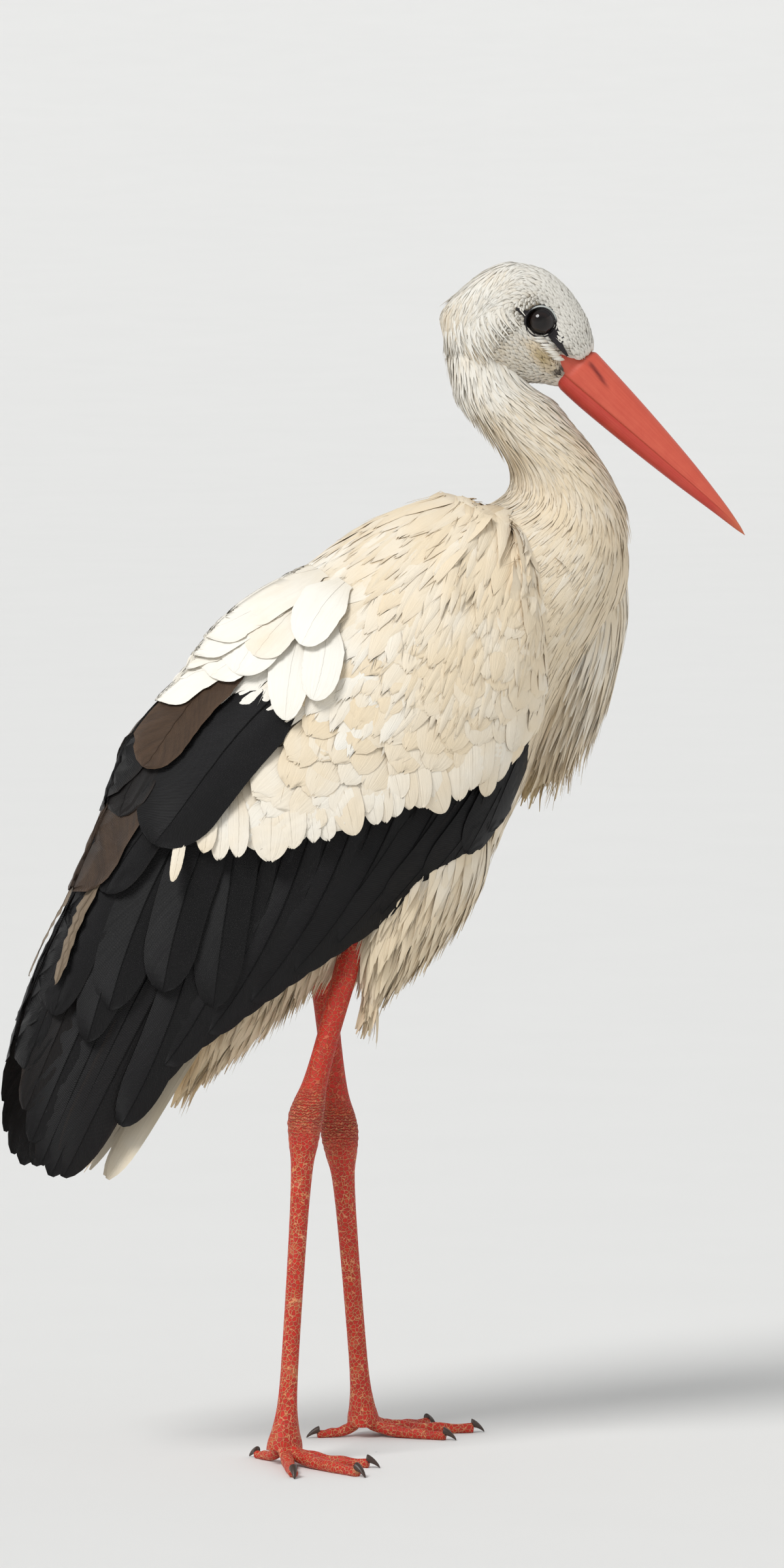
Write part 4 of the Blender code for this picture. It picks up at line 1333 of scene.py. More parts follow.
class STORK_OT_neck_feathers(bpy.types.Operator):
    """Lays long narrow plumes down the neck and over the breast"""

    bl_idname = "stork.neck_feathers"
    bl_label = "Neck and breast feathers"

    def execute(self, context):
        depth = context.scene.stork_plumage.neck_depth

        def keep(point, normal):
            return ~in_head(point, 0.009) & ~WING_SIDE.covers(point, 0.003)

        def low(point):
            return step(0.74, 0.60, point[..., 2])

        def length(point):
            x, z = point[..., 0], point[..., 2]
            foot = step(0.115, 0.085, x) * step(0.745, 0.715, z) * (z > 0.66)
            return 0.026 + 0.036 * low(point) + 0.026 * foot

        def width(point):
            return 0.0036 + 0.0060 * low(point)

        def warm(point):
            front = step(0.06, 0.17, point[..., 0])
            top = step(0.715, 0.765, point[..., 2])
            return 0.44 + 0.12 * front + 0.14 * step(0.66, 0.50, point[..., 2]) * front - 0.28 * top

        def fall(point, normal):
            back = step(0.088, 0.066, point[..., 0]) * step(0.69, 0.73, point[..., 2])
            breast = step(0.155, 0.175, point[..., 0]) * step(0.64, 0.58, point[..., 2])
            spread = 0.06 * np.sign(point[..., 1])
            way = np.stack([-0.10 * back - 0.06 * breast, spread, -1.0 + 0 * back], axis=-1)
            return hanging(way, 0.2 * back + 0.3 * breast)

        for side, label in SIDE_NAMES.items():
            like = {"jitter": 0.4, "span": (0.198, 0.985), "length": length, "depth": depth, "rise": 0.0,
                    "keep": lambda p, n: keep(p, n) & (p[..., 1] * side >= 0), "swing": 0.07,
                    "hang": fall, "warm": warm}
            batches = [
                coat(BODY, neck_way, gaps=(0.0045, 0.0031), seeds=(21, 22 + side), width=width, steps=8,
                     profile=lance, columns=3, arch=0.10, thick=0.0003, **like),
                coat(BODY, neck_way, gaps=(0.0100, 0.0080), seeds=(23, 24 + side),
                     width=lambda p: width(p) * 0.10, steps=6, **like),
            ]
            # The last colour is the painted shade in the creases at the feathers' roots.
            white_piece("neck_feathers_" + label, batches, "neck_plumage_" + label, (0.92, 0.86, 0.77))
        return {"FINISHED"}


# Where the breast's loose plumes lie: X, Z, half depth and half width of level rings.
LOOSE_PLUMES = (
    (0.142, 0.640, 0.044, 0.050),
    (0.143, 0.605, 0.044, 0.053),
    (0.145, 0.580, 0.0415, 0.053),
    (0.143, 0.550, 0.0367, 0.049),
    (0.138, 0.520, 0.0305, 0.041),
    (0.131, 0.498, 0.0220, 0.029),
    (0.124, 0.482, 0.0120, 0.017),
    (0.120, 0.474, 0.0040, 0.007),
)


class STORK_OT_breast_plumes(bpy.types.Operator):
    """Hangs the long pointed plumes of the lower breast, ending in separate tips"""

    bl_idname = "stork.breast_plumes"
    bl_label = "Breast plumes"

    def execute(self, context):
        plume = Surface(level_rings(LOOSE_PLUMES, 160, 140, 0.0))

        def length(point):
            free = np.random.RandomState(38).uniform(0, 1, point.shape[:-1]) ** 3 * 0.022
            return np.minimum(0.074, (point[..., 2] - LOOSE_PLUMES[-1][1]) * 1.05 + 0.008) + free

        # More buff towards the lower tips: partly the plumes' own buff, partly painted shade and a painted reflection
        # from below.
        def warm(point):
            return 0.36 + 0.62 * step(0.59, 0.49, point[..., 2])

        def fall(point, normal):
            ahead = point[..., 0] - 0.140
            way = np.stack([-0.34 + ahead * 2.0, point[..., 1] * 2.5, -1.0 + 0 * ahead], axis=-1)
            return hanging(way, np.random.RandomState(37).uniform(0.15, 0.75, ahead.shape))

        like = {"jitter": 0.45, "span": (0.0, 0.86), "length": length, "rise": 0.0004, "loose": 0.0016,
                "hang": fall, "warm": warm}
        batches = [
            coat(plume, down_way, gaps=(0.0068, 0.0056), seeds=(31, 32), width=0.0074, depth=0.005,
                 steps=8, profile=lance, columns=3, arch=0.2, thick=0.0004, **like),
            coat(plume, down_way, gaps=(0.0070, 0.0044), seeds=(33, 34), width=0.0013, depth=0.004,
                 steps=7, **like),
        ]
        # The last colour is the painted shade in the creases at the feathers' roots.
        white_piece("breast_plume_feathers", batches, "breast_plumage", (0.76, 0.68, 0.50))
        return {"FINISHED"}


class STORK_OT_mantle_feathers(bpy.types.Operator):
    """Layers the ridged plumes of the shoulders, the back's pointed feathers and the scapulars"""

    bl_idname = "stork.mantle_feathers"
    bl_label = "Mantle and scapulars"

    def execute(self, context):
        depth = context.scene.stork_plumage.body_depth

        def over(point, rise):
            x = point[..., 0]
            line = side_height(SCAPULAR_LINE, x) + 0.042 * step(-0.015, -0.075, x)
            return (point[..., 2] > line + rise) & ~in_head(point, 0.0)

        def shoulder(point):
            return step(-0.015, 0.045, point[..., 0])

        def warm(point):
            low = step(-0.02, -0.09, point[..., 0]) * step(0.62, 0.56, point[..., 2])
            return 0.24 + 0.26 * shoulder(point) - 0.24 * low

        batches = []
        for gaps, length, width, profile, columns, arch, seed, near in (
            ((0.0088, 0.0088), 0.064, 0.0210, bud_point, 7, 0.10, 41, False),
            ((0.0088, 0.0070), 0.072, 0.0130, lance, 5, 0.22, 43, True),
        ):
            picked = np.random.RandomState(seed)

            def keep(point, normal):
                share = shoulder(point) if near else 1 - shoulder(point) * 0.8
                return over(point, 0.010) & (picked.uniform(0, 1, len(point)) < share)

            def fray(count):
                return picked.uniform(0, 0.07, (count, columns))

            batches.append(coat(SHOULDERS, wing_way, gaps, (seed, seed + 1), length, width, depth, steps=8,
                                profile=profile, jitter=0.45, span=(0.0, 0.64), keep=keep, rise=0.0002,
                                swing=0.13, loose=0.0009, warm=warm, columns=columns, arch=arch,
                                thick=0.0005, fray=fray))
        batches.append(coat(SHOULDERS, wing_way, gaps=(0.0110, 0.0100), seeds=(45, 46), length=0.046,
                            width=0.0013, depth=depth, steps=5, jitter=0.45, span=(0.0, 0.62),
                            keep=lambda p, n: over(p, 0.012), rise=0.0008, swing=0.28, loose=0.0012,
                            warm=warm))
        # The last colour is the painted shade in the creases at the feathers' roots.
        white_piece("mantle_feathers", batches, "mantle_plumage", (0.76, 0.67, 0.55))
        for side, label in SIDE_NAMES.items():
            rows = side_vanes(side, SCAPULARS, 47 + side, warm=0.12, shaft=0.0003, sunk=0.009)
            # The last colour is the painted shade in the creases at the feathers' roots.
            white_piece("scapulars_" + label, rows, "scapular_plumage_" + label, (0.90, 0.86, 0.80))
        return {"FINISHED"}


def bud_point(t):
    """Between bud and lance: broad in the middle, with a blunt point."""
    return np.sqrt(np.clip(t / 0.3, 0.10, 1)) * np.clip(1 - ((t - 0.45) / 0.58).clip(0) ** 1.7, 0.07, 1)


# The broad white scapulars that end the mantle, in side view: root X, Z, bend X, Z, tip X, Z,
# half width, height over the envelope, wear, and how blunt the tip is.
SCAPULARS = (
    (-0.072, 0.602, -0.092, 0.578, -0.110, 0.550, 0.0130, 0.0078, 0.0, 0.42),
    (-0.066, 0.586, -0.084, 0.554, -0.088, 0.522, 0.0120, 0.0066, 0.0, 0.50),
    (-0.050, 0.592, -0.058, 0.562, -0.070, 0.536, 0.0115, 0.0080, 0.0, 0.40),
    (-0.034, 0.614, -0.054, 0.596, -0.071, 0.571, 0.0105, 0.0098, 0.0, 0.36),
    (-0.076, 0.594, -0.108, 0.576, -0.138, 0.554, 0.0065, 0.0084, 0.0, 0.12),
    (-0.080, 0.586, -0.116, 0.566, -0.146, 0.543, 0.0065, 0.0076, 0.0, 0.12),
    (-0.084, 0.578, -0.120, 0.555, -0.151, 0.527, 0.0070, 0.0068, 0.0, 0.14),
    (-0.060, 0.606, -0.088, 0.590, -0.114, 0.569, 0.0070, 0.0094, 0.0, 0.14),
    (-0.068, 0.600, -0.096, 0.582, -0.124, 0.558, 0.0065, 0.0088, 0.0, 0.14),
    (-0.078, 0.586, -0.100, 0.568, -0.122, 0.546, 0.0085, 0.0068, 0.0, 0.20),
    (-0.056, 0.602, -0.078, 0.586, -0.098, 0.562, 0.0095, 0.0086, 0.0, 0.26),
    (-0.044, 0.622, -0.072, 0.607, -0.102, 0.583, 0.0115, 0.0078, 0.0, 0.20),
)


class STORK_OT_wing_coverts(bpy.types.Operator):
    """Layers the broad soft coverts down each wing's side to their ragged lower edge"""

    bl_idname = "stork.wing_coverts"
    bl_label = "Wing coverts"

    def execute(self, context):
        depth = context.scene.stork_plumage.body_depth
        for side, label in SIDE_NAMES.items():
            random = np.random.RandomState(51 + side)

            def keep(point, normal):
                x, z = point[..., 0], point[..., 2]
                on_side = (point[..., 1] * side > 0.012) & (x > np.interp(z, *TERTIAL_FRONT))
                low = side_height(COVERT_LINE, x) + 0.036
                high = side_height(SCAPULAR_LINE, x) + 0.052
                return on_side & (z > low) & (z < high)

            # The coverts' cream is partly their own, partly painted shade; the lowest ones take less of it.
            def warm(point):
                return 0.48 - 0.24 * step(0.52, 0.47, point[..., 2])

            def fray(count):
                return random.uniform(0, 0.09, (count, 9))

            like = {"jitter": 0.45, "span": (0.02, 0.62), "keep": keep, "depth": depth, "warm": warm}
            rows, ragged = covert_edge()
            batches = [
                coat(WINGS, wing_way, gaps=(0.0125, 0.0125), seeds=(52, 53), length=0.042, width=0.0250,
                     steps=9, profile=bud, rise=0.0, swing=0.14, loose=0.0005, columns=9, arch=0.06,
                     thick=0.0004, fray=fray, **like),
                coat(WINGS, wing_way, gaps=(0.0150, 0.0110), seeds=(54, 55), length=0.034, width=0.0012,
                     steps=5, rise=0.0004, swing=0.28, loose=0.0010, **like),
                *side_vanes(side, rows, 56 + side, warm=0.34, ragged=ragged * 0.15, shaft=0.0003, sunk=0.009),
            ]
            name, plumage = "wing_covert_feathers_" + label, "covert_plumage_" + label
            # The last colour is the painted shade in the creases at the feathers' roots.
            white_piece(name, batches, plumage, (0.93, 0.88, 0.81))
        return {"FINISHED"}


# The tertials' front edge in side view: heights, and X at each.
TERTIAL_FRONT = ((0.430, 0.455, 0.484, 0.520, 0.560), (-0.149, -0.124, -0.094, -0.070, -0.052))


# The lowest coverts, whose tips make the white area's edge: root X, Z, tip X, Z, half width, how
# blunt and how ragged the tip is.
COVERT_EDGE = (
    (-0.137, 0.472, -0.144, 0.430, 0.0065, 0.35, 0.30),
    (-0.128, 0.472, -0.134, 0.425, 0.0060, 0.30, 0.30),
    (-0.118, 0.472, -0.122, 0.427, 0.0065, 0.35, 0.30),
    (-0.096, 0.486, -0.100, 0.424, 0.0150, 0.50, 0.14),
    (-0.088, 0.484, -0.085, 0.433, 0.0110, 0.45, 0.10),
    (-0.075, 0.482, -0.070, 0.437, 0.0055, 0.22, 0.25),
    (-0.066, 0.478, -0.060, 0.438, 0.0060, 0.22, 0.30),
    (-0.053, 0.488, -0.043, 0.442, 0.0110, 0.50, 0.06),
    (-0.036, 0.492, -0.027, 0.449, 0.0075, 0.40, 0.20),
    (-0.027, 0.496, -0.020, 0.450, 0.0065, 0.35, 0.24),
    (-0.021, 0.500, -0.013, 0.454, 0.0085, 0.40, 0.20),
    (-0.012, 0.506, -0.003, 0.459, 0.0080, 0.40, 0.20),
    (-0.002, 0.510, 0.005, 0.460, 0.0090, 0.40, 0.18),
    (-0.004, 0.514, 0.022, 0.456, 0.0125, 0.45, 0.03),
    (0.031, 0.518, 0.033, 0.464, 0.0085, 0.35, 0.20),
    (0.041, 0.522, 0.042, 0.471, 0.0090, 0.35, 0.22),
    (0.053, 0.526, 0.049, 0.475, 0.0085, 0.30, 0.22),
    (0.061, 0.526, 0.054, 0.466, 0.0075, 0.20, 0.10),
    (0.072, 0.530, 0.063, 0.476, 0.0090, 0.35, 0.15),
    (0.079, 0.544, 0.074, 0.497, 0.0080, 0.35, 0.12),
)


def covert_edge():
    """Rows like SCAPULARS from COVERT_EDGE, over a hidden row that fills the gaps between them."""
    random = np.random.RandomState(57)
    found, ragged = [], []
    for shift in (0.0075, 0.0):
        for root_x, root_z, tip_x, tip_z, half, blunt, rough in COVERT_EDGE:
            low = tip_z + (0.008 if shift else 0.0)
            bend = ((root_x + tip_x) / 2 - shift, (root_z + low) / 2)
            height = random.uniform(0.0012, 0.0030) - 0.24 * shift
            found.append((root_x - shift, root_z, *bend, tip_x - shift, low, half + 0.2 * shift, height, 0.0, blunt))
            ragged.append(rough)
    found.append((-0.156, 0.452, -0.160, 0.432, -0.166, 0.411, 0.0036, 0.0060, 0.0, 0.40))
    return found, np.array([*ragged, 0.05])


class STORK_OT_belly_feathers(bpy.types.Operator):
    """Lays the loose feathers of belly, flanks, thighs and vent"""

    bl_idname = "stork.belly_feathers"
    bl_label = "Belly and thigh feathers"

    def execute(self, context):
        depth = context.scene.stork_plumage.body_depth

        def keep(point, normal):
            above_edge = point[..., 2] > side_height(WING_EDGE, point[..., 0]) + 0.012
            return ~(WING_SIDE.covers(point, 0.004) & above_edge) & (point[..., 2] < 0.56)

        # More buff towards the bottom: partly the feathers' own buff, partly painted shade and a painted yellowish
        # reflection from below.
        def warm(point):
            return 0.45 + 0.30 * step(0.46, 0.34, point[..., 2])

        def fall(point, normal):
            return hanging(DOWN + 0 * normal - 0.35 * FORE, 0.35)

        like = {"span": (0.0, 0.34), "keep": keep, "depth": depth, "hang": fall, "warm": warm}
        batches = [
            coat(BODY, neck_way, gaps=(0.0094, 0.0083), seeds=(61, 62), length=0.048, width=0.0100,
                 steps=8, profile=lance, rise=0.0, swing=0.12, columns=5, arch=0.12, thick=0.0005, **like),
            coat(BODY, neck_way, gaps=(0.0112, 0.0068), seeds=(63, 64), length=0.052, width=0.0014,
                 steps=7, swing=0.16, loose=0.002, **like),
        ]
        for side in SIDE_NAMES:
            thigh = Surface(level_rings(THIGH_STATIONS, 100, 80, side * THIGH_Y))
            like = {"seeds": (65 + side, 67 + side), "length": 0.046, "depth": 0.005, "steps": 8,
                    "rise": 0.0, "swing": 0.12, "loose": 0.003, "hang": fall, "warm": warm}
            batches += [
                coat(thigh, down_way, gaps=(0.0078, 0.0066), width=0.0086, profile=lance, columns=3,
                     arch=0.14, thick=0.0005, **like),
                coat(thigh, down_way, gaps=(0.0086, 0.0062), width=0.0014, **like),
            ]
        # The last colour is the painted shade in the creases at the feathers' roots, darkest under the body.
        white_piece("belly_feathers", batches, "belly_plumage", (0.72, 0.63, 0.48))
        return {"FINISHED"}


# The flight feathers of one wing in side view: root X, Z, bend X, Z, tip X, Z, half width, height
# over the envelope, wear, and how blunt the tip is. Tertials come first, then the others.
FLIGHT_FEATHERS = (
    (-0.072, 0.556, -0.120, 0.514, -0.175, 0.436, 0.0230, 0.0030, 0.03, 0.20),
    (-0.098, 0.566, -0.134, 0.538, -0.173, 0.486, 0.0100, 0.0062, 0.62, 0.20),
    (-0.112, 0.572, -0.172, 0.543, -0.206, 0.456, 0.0160, 0.0022, 0.12, 0.25),
    (-0.120, 0.550, -0.166, 0.520, -0.190, 0.453, 0.0090, 0.0014, 0.20, 0.22),
    (-0.130, 0.530, -0.190, 0.480, -0.220, 0.400, 0.0135, 0.0004, 0.50, 0.20),
    (-0.125, 0.505, -0.175, 0.460, -0.206, 0.402, 0.0135, -0.0030, 0.10, 0.22),
    (-0.135, 0.555, -0.214, 0.485, -0.238, 0.388, 0.0130, -0.0070, 0.08, 0.26),
    (-0.196, 0.430, -0.221, 0.388, -0.240, 0.338, 0.0019, 0.0010, 1.20, 0.18),
    (-0.112, 0.470, -0.128, 0.400, -0.134, 0.322, 0.0170, -0.0060, 0.05, 0.24),
    (-0.124, 0.470, -0.158, 0.410, -0.170, 0.334, 0.0180, -0.0050, 0.05, 0.22),
    (-0.138, 0.470, -0.185, 0.400, -0.207, 0.322, 0.0180, -0.0072, 0.05, 0.25),
    (-0.150, 0.470, -0.196, 0.390, -0.222, 0.300, 0.0160, -0.0082, 0.06, 0.28),
    (-0.165, 0.480, -0.216, 0.400, -0.243, 0.318, 0.0140, -0.0088, 0.08, 0.30),
)
# The primaries: where each tip is in side view, as X, Z, and how worn each is.
PRIMARY_TIPS = (
    (-0.237, 0.205, 0.16),
    (-0.246, 0.206, 0.08),
    (-0.253, 0.214, 0.14),
    (-0.259, 0.230, 0.06),
    (-0.262, 0.252, 0.20),
    (-0.261, 0.280, 0.10),
    (-0.257, 0.310, 0.08),
)
# The secondaries' wear, taken in turn.
SECONDARY_WEAR = (0.05, 0.12, 0.03, 0.08)


def secondaries(count=18):
    """Rows like FLIGHT_FEATHERS for the secondaries, whose tips follow the wing's lower edge."""
    found = []
    for k in range(count):
        share = k / (count - 1)
        tip_x = -0.198 + 0.260 * share
        tip_z = side_height(WING_EDGE, tip_x) + 0.003
        root_x = min(tip_x + 0.075, 0.090)
        root_z = side_height(COVERT_LINE, root_x) + 0.034 - 0.030 * share**2
        bend_x = tip_x + 0.60 * (root_x - tip_x)
        bend_z = side_height(WING_EDGE, bend_x) + 0.022
        height = -0.0072 + 0.0062 * share**2 - 0.0006 * (k % 2)
        wear = SECONDARY_WEAR[k % len(SECONDARY_WEAR)]
        found.append((root_x, root_z, bend_x, bend_z, tip_x, tip_z, 0.0155, height, wear, 0.24))
    return found


def primaries():
    """Rows like FLIGHT_FEATHERS for the primaries, one above the other towards the wing tip."""
    found = []
    for k, (tip_x, tip_z, wear) in enumerate(PRIMARY_TIPS):
        root = (-0.120 - 0.006 * k, 0.420 + 0.012 * k)
        bend = ((root[0] + tip_x) / 2 - 0.012, (root[1] + tip_z) / 2 - 0.008 + 0.006 * k)
        half, height = 0.0175 - 0.0012 * k, -0.0100 - 0.0010 * k
        found.append((*root, *bend, tip_x, tip_z, half, height, wear, 0.24))
    return found


# How many steps along and points across a vane on the wing's side has, and how thick it is.
VANE_STEPS, VANE_COLUMNS, VANE_THICKNESS = 24, 11, 0.0008


def side_vanes(side, rows, seed, warm=0.0, ragged=0.0, shaft=0.0008, sunk=0.0):
    """Vanes laid on one wing's side, each with its shaft.

    The middle of each is the curve (1 - t)^2 root + 2 t (1 - t) bend + t^2 tip in side view. A
    point b across it stands b * width to the curve's side, on the envelope's half width there
    plus the feather's height; one edge stands over its neighbour by a tilt. Ragged draws each
    column's end back by its own share.
    """
    random = np.random.RandomState(seed)
    rows = np.array(rows)
    count = len(rows)
    t = 1 - (1 - np.linspace(0, 1, VANE_STEPS + 1)) ** 1.25
    root, bend, tip = (rows[:, None, k : k + 2] for k in (0, 2, 4))
    s = t[None, :, None]
    path = (1 - s) ** 2 * root + 2 * s * (1 - s) * bend + s**2 * tip
    way = unit(2 * (1 - s) * (bend - root) + 2 * s * (tip - bend))
    fore = np.stack([-way[..., 1], way[..., 0]], axis=-1)
    blunt = rows[:, 9, None]
    ending = np.clip(1 - ((t[None] - (1 - blunt)) / blunt).clip(0) ** 2, 0.015, 1)
    width = rows[:, 6, None] * np.sqrt(np.clip(t / 0.35, 0.2, 1)) * np.sqrt(ending)
    across = np.linspace(-1, 1, VANE_COLUMNS)
    b = across[None, None]
    pull = random.uniform(0, 1, (count, 1, VANE_COLUMNS)) * (t**3)[None, :, None]
    pull = pull * np.reshape(ragged, (-1, 1, 1))
    length = np.linalg.norm(rows[:, 4:6] - rows[:, 0:2], axis=1)[:, None, None]
    plane = path[:, :, None] + fore[:, :, None] * (b * width[..., None])[..., None]
    plane = plane - way[:, :, None] * (pull * length)[..., None]
    tilt = 0.0009 * b + 0.0005 * (1 - b**2)
    height = rows[:, 7, None, None] + tilt - sunk * (1 - t[None, :, None]) ** 2
    x, y, z = WING_SIDE.onto(plane[..., 0], plane[..., 1], height)
    top = np.stack([x, side * y, z], axis=-1)
    inner = top[:, 1:-1, 1:-1] - np.array([0, side * VANE_THICKNESS, 0])
    middle = top[:, :, VANE_COLUMNS // 2]
    u, v = WING_SIDE.place(path[:, 3, 0], path[:, 3, 1])
    values = {"tint": random.uniform(0, 1, count), "warm": warm, "wear": rows[:, 8],
              "place_u": (v + 1) / 2, "place_v": u}
    normals = np.broadcast_to(np.array([0, side, 0.0]), middle.shape)
    ways = unit(np.gradient(middle, axis=1))
    shafts = strands((middle, normals, ways), np.full(count, shaft), lambda t: 1 - 0.75 * t, 0.5, **values)
    return [lenses(top, inner, t, across, **values), shafts]


class STORK_OT_flight_feathers(bpy.types.Operator):
    """Fans the black tertials, secondaries and primaries of each folded wing"""

    bl_idname = "stork.flight_feathers"
    bl_label = "Flight feathers"

    def execute(self, context):
        finish = black_finish()
        for side, label in SIDE_NAMES.items():
            rows = [*FLIGHT_FEATHERS, *secondaries(), *primaries()]
            mesh = build_mesh("flight_feathers_" + label, side_vanes(side, rows, 71 + side, sunk=0.006))
            nodes = [f"wing_{group}_{label}" for group in ("tertials", "secondaries", "primaries")]
            piece("flight_feathers_" + label, mesh, finish, nodes)
        return {"FINISHED"}


class STORK_OT_tail_feathers(bpy.types.Operator):
    """Fans the white tail feathers under the wings"""

    bl_idname = "stork.tail_feathers"
    bl_label = "Tail feathers"

    def execute(self, context):
        random = np.random.RandomState(81)
        count, steps = 12, 16
        share = np.linspace(-1, 1, count)
        t = np.linspace(0, 1, steps + 1)
        rows = smooth_rows(TAIL_STATIONS, steps + 1)
        level = (np.abs(share) * 0.0120)[:, None] * (0.3 + 0.7 * t[None])
        x = rows[None, :, 0] + 0 * level
        z = rows[None, :, 1] - level + 0.004
        y = share[:, None] * (rows[None, :, 3] - 0.010) * (0.3 + 0.7 * t[None])
        middles = np.stack([x, y, z], axis=-1)
        ends = 1 - random.uniform(0, 0.12, (count, 1, 1))
        middles = middles[:, :1] + (middles - middles[:, :1]) * ends
        ways = unit(np.gradient(middles, axis=1))
        normals = unit(np.cross(ways, np.array([0.0, 1.0, 0.0])))
        normals = normals * np.sign(normals[..., 2:3])
        normals = unit(normals + share[:, None, None] * np.array([0.0, 0.9, 0.0]))
        batch = vanes((middles, normals, ways), np.full(count, 0.0105), bud, columns=7, arch=0.10,
                      thick=0.0008, warm=0.45, tint=random.uniform(0, 1, count), place_u=(share + 1) / 2,
                      place_v=0.5)
        white_piece("tail_feathers", [batch], "tail_plumage", replaced=["tail"])
        return {"FINISHED"}


class STORK_OT_bill(bpy.types.Operator):
    """Makes the two jaws, with the ridge, the bite line and the nostril grooves"""

    bl_idname = "stork.bill"
    bl_label = "Bill"

    def execute(self, context):
        for label in ("upper", "lower"):
            upper = label == "upper"
            mesh = build_mesh(f"bill_{label}_horn", [self.jaw(upper)])
            piece(f"bill_{label}_horn", mesh, bill_finish(not upper), ["bill_" + label])
        return {"FINISHED"}

    def jaw(self, upper, count=150, sides=44):
        """A half-oval loft: round on the outside, slightly hollow along its flat side.

        The nostril is a groove along the upper jaw's side, as deep as a bell curve across it. Its share is also kept
        in the wear number, which paints shade into the groove.
        """
        rows = smooth_rows((BILL_ROOT, *BILL_STATIONS), count)
        edge = rows[:, 1] if upper else rows[:, 3]
        away = 1 if upper else -1
        bite = rows[:, 2, None] - away * 0.0002
        hidden = 1 - 0.14 * step(0.0445, 0.0375, rows[:, 0])
        depth = np.maximum(np.abs(edge - rows[:, 2]) * hidden, 0.0004)[:, None]
        angle = np.concatenate([np.linspace(0, math.pi, sides), np.linspace(math.pi, TAU, 8)[1:-1]])[None]
        sine, cosine = np.sin(angle), np.cos(angle)
        rise = np.where(sine > 0, np.abs(sine) ** 0.9, 0.06 * sine * -1.0)
        height = bite + away * depth * rise
        side = (rows[:, 4] * hidden)[:, None] * np.sign(cosine) * np.abs(cosine) ** 0.85
        along = rows[:, 0, None]
        groove = np.zeros_like(height)
        if upper:
            share = (height - bite) / depth
            line = 0.68 - 0.12 * step(0.045, 0.070, along)
            span = step(0.042, 0.048, along) * (1 - step(0.058, 0.070, along))
            groove = bell(share, line, 0.05) * span * (sine > 0)
            side = side * (1 - groove * 0.14)
        rings = head_point(along, height, side)
        # The groove's share, kept as wear, is painted as shade by the bill's finish.
        return loft_batch(rings, wear=groove)


class STORK_OT_eyes(bpy.types.Operator):
    """Sets each eye in its socket, with the lids and the bare black skin round them"""

    bl_idname = "stork.eyes"
    bl_label = "Eyes and lids"

    # The ball in its opening, the opening's radius, and where the lid's rim stands highest.
    BALL, OPENING, CREST = 0.0101, 0.0096, 0.0105

    def execute(self, context):
        eye, lid = eye_finish(), lid_finish()
        for side, label in SIDE_NAMES.items():
            ball = build_mesh("eyeball_" + label, [self.ball(side)])
            piece("eyeball_" + label, ball, eye, ["eye_" + label])
            lids = build_mesh("eyelids_" + label, [self.lids(side)])
            piece("eyelids_" + label, lids, lid)
        return {"FINISHED"}

    def ball(self, side, count=40, sides=56):
        """A ball with a slightly bulging cornea: radius * (1 + a bell curve round the outer pole)."""
        polar = np.linspace(0.02, math.pi - 0.02, count)[:, None]
        turn = circle(sides)
        size = self.BALL * (1 + 0.02 * bell(polar, 0, 0.6))
        along, height = size * np.sin(polar) * np.cos(turn), size * np.sin(polar) * np.sin(turn)
        out = EYE_SIDEWAYS + size * np.cos(polar)
        iris = bell(polar, 0.62, 0.16) + 0 * turn
        return loft_batch(head_point(along, height, side * (out + 0 * turn)), wear=iris)

    def lids(self, side, turns=120, steps=30):
        """A patch round the eye: on the ball at its inner rim, over a crest, then down to the head.

        The crest is highest and palest above the eye.
        """
        turn = circle(turns)
        share = np.linspace(0, 1, steps)[:, None]
        inner = self.OPENING - 0.0009 * np.abs(np.sin(turn))
        away = inner + (bare_reach(turn) + 0.0010 - inner) * share**1.5
        along, height = away * np.cos(turn), away * np.sin(turn)
        above = step(0.25, 0.95, np.sin(turn - 0.35))
        ball = EYE_SIDEWAYS + np.sqrt(np.maximum(self.BALL**2 - away**2, 0.0)) + 0.0003
        crest = (0.0007 + 0.0006 * above) * bell(away, self.CREST, 0.0008)
        fold = 0.0002 * np.sin((away - self.CREST) / 0.0009 * math.pi) * (away < 0.0130)
        skin = head_side(along, height) - 0.0004 + crest + fold
        hold = step(self.CREST - 0.0002, self.OPENING, away)
        out = skin * (1 - hold) + ball * hold
        top = head_point(along, height, side * out)
        under = head_point(along, height, side * (out - 0.0012))
        rings = np.concatenate([top, under[::-1]])
        rows, sides = rings.shape[:2]
        grid = grid_faces(rows + 1, sides, wrap=True) % (rows * sides)
        values = {"along": share + 0 * turn, "warm": above * bell(away, self.CREST + 0.0003, 0.0007),
                  "place_u": 0.5 + 10.0 * along, "place_v": 0.5 + 10.0 * height}
        values = {name: np.concatenate([part, part[::-1]]).reshape(1, -1) for name, part in values.items()}
        return Batch(rings.reshape(1, -1, 3), grid, **values)


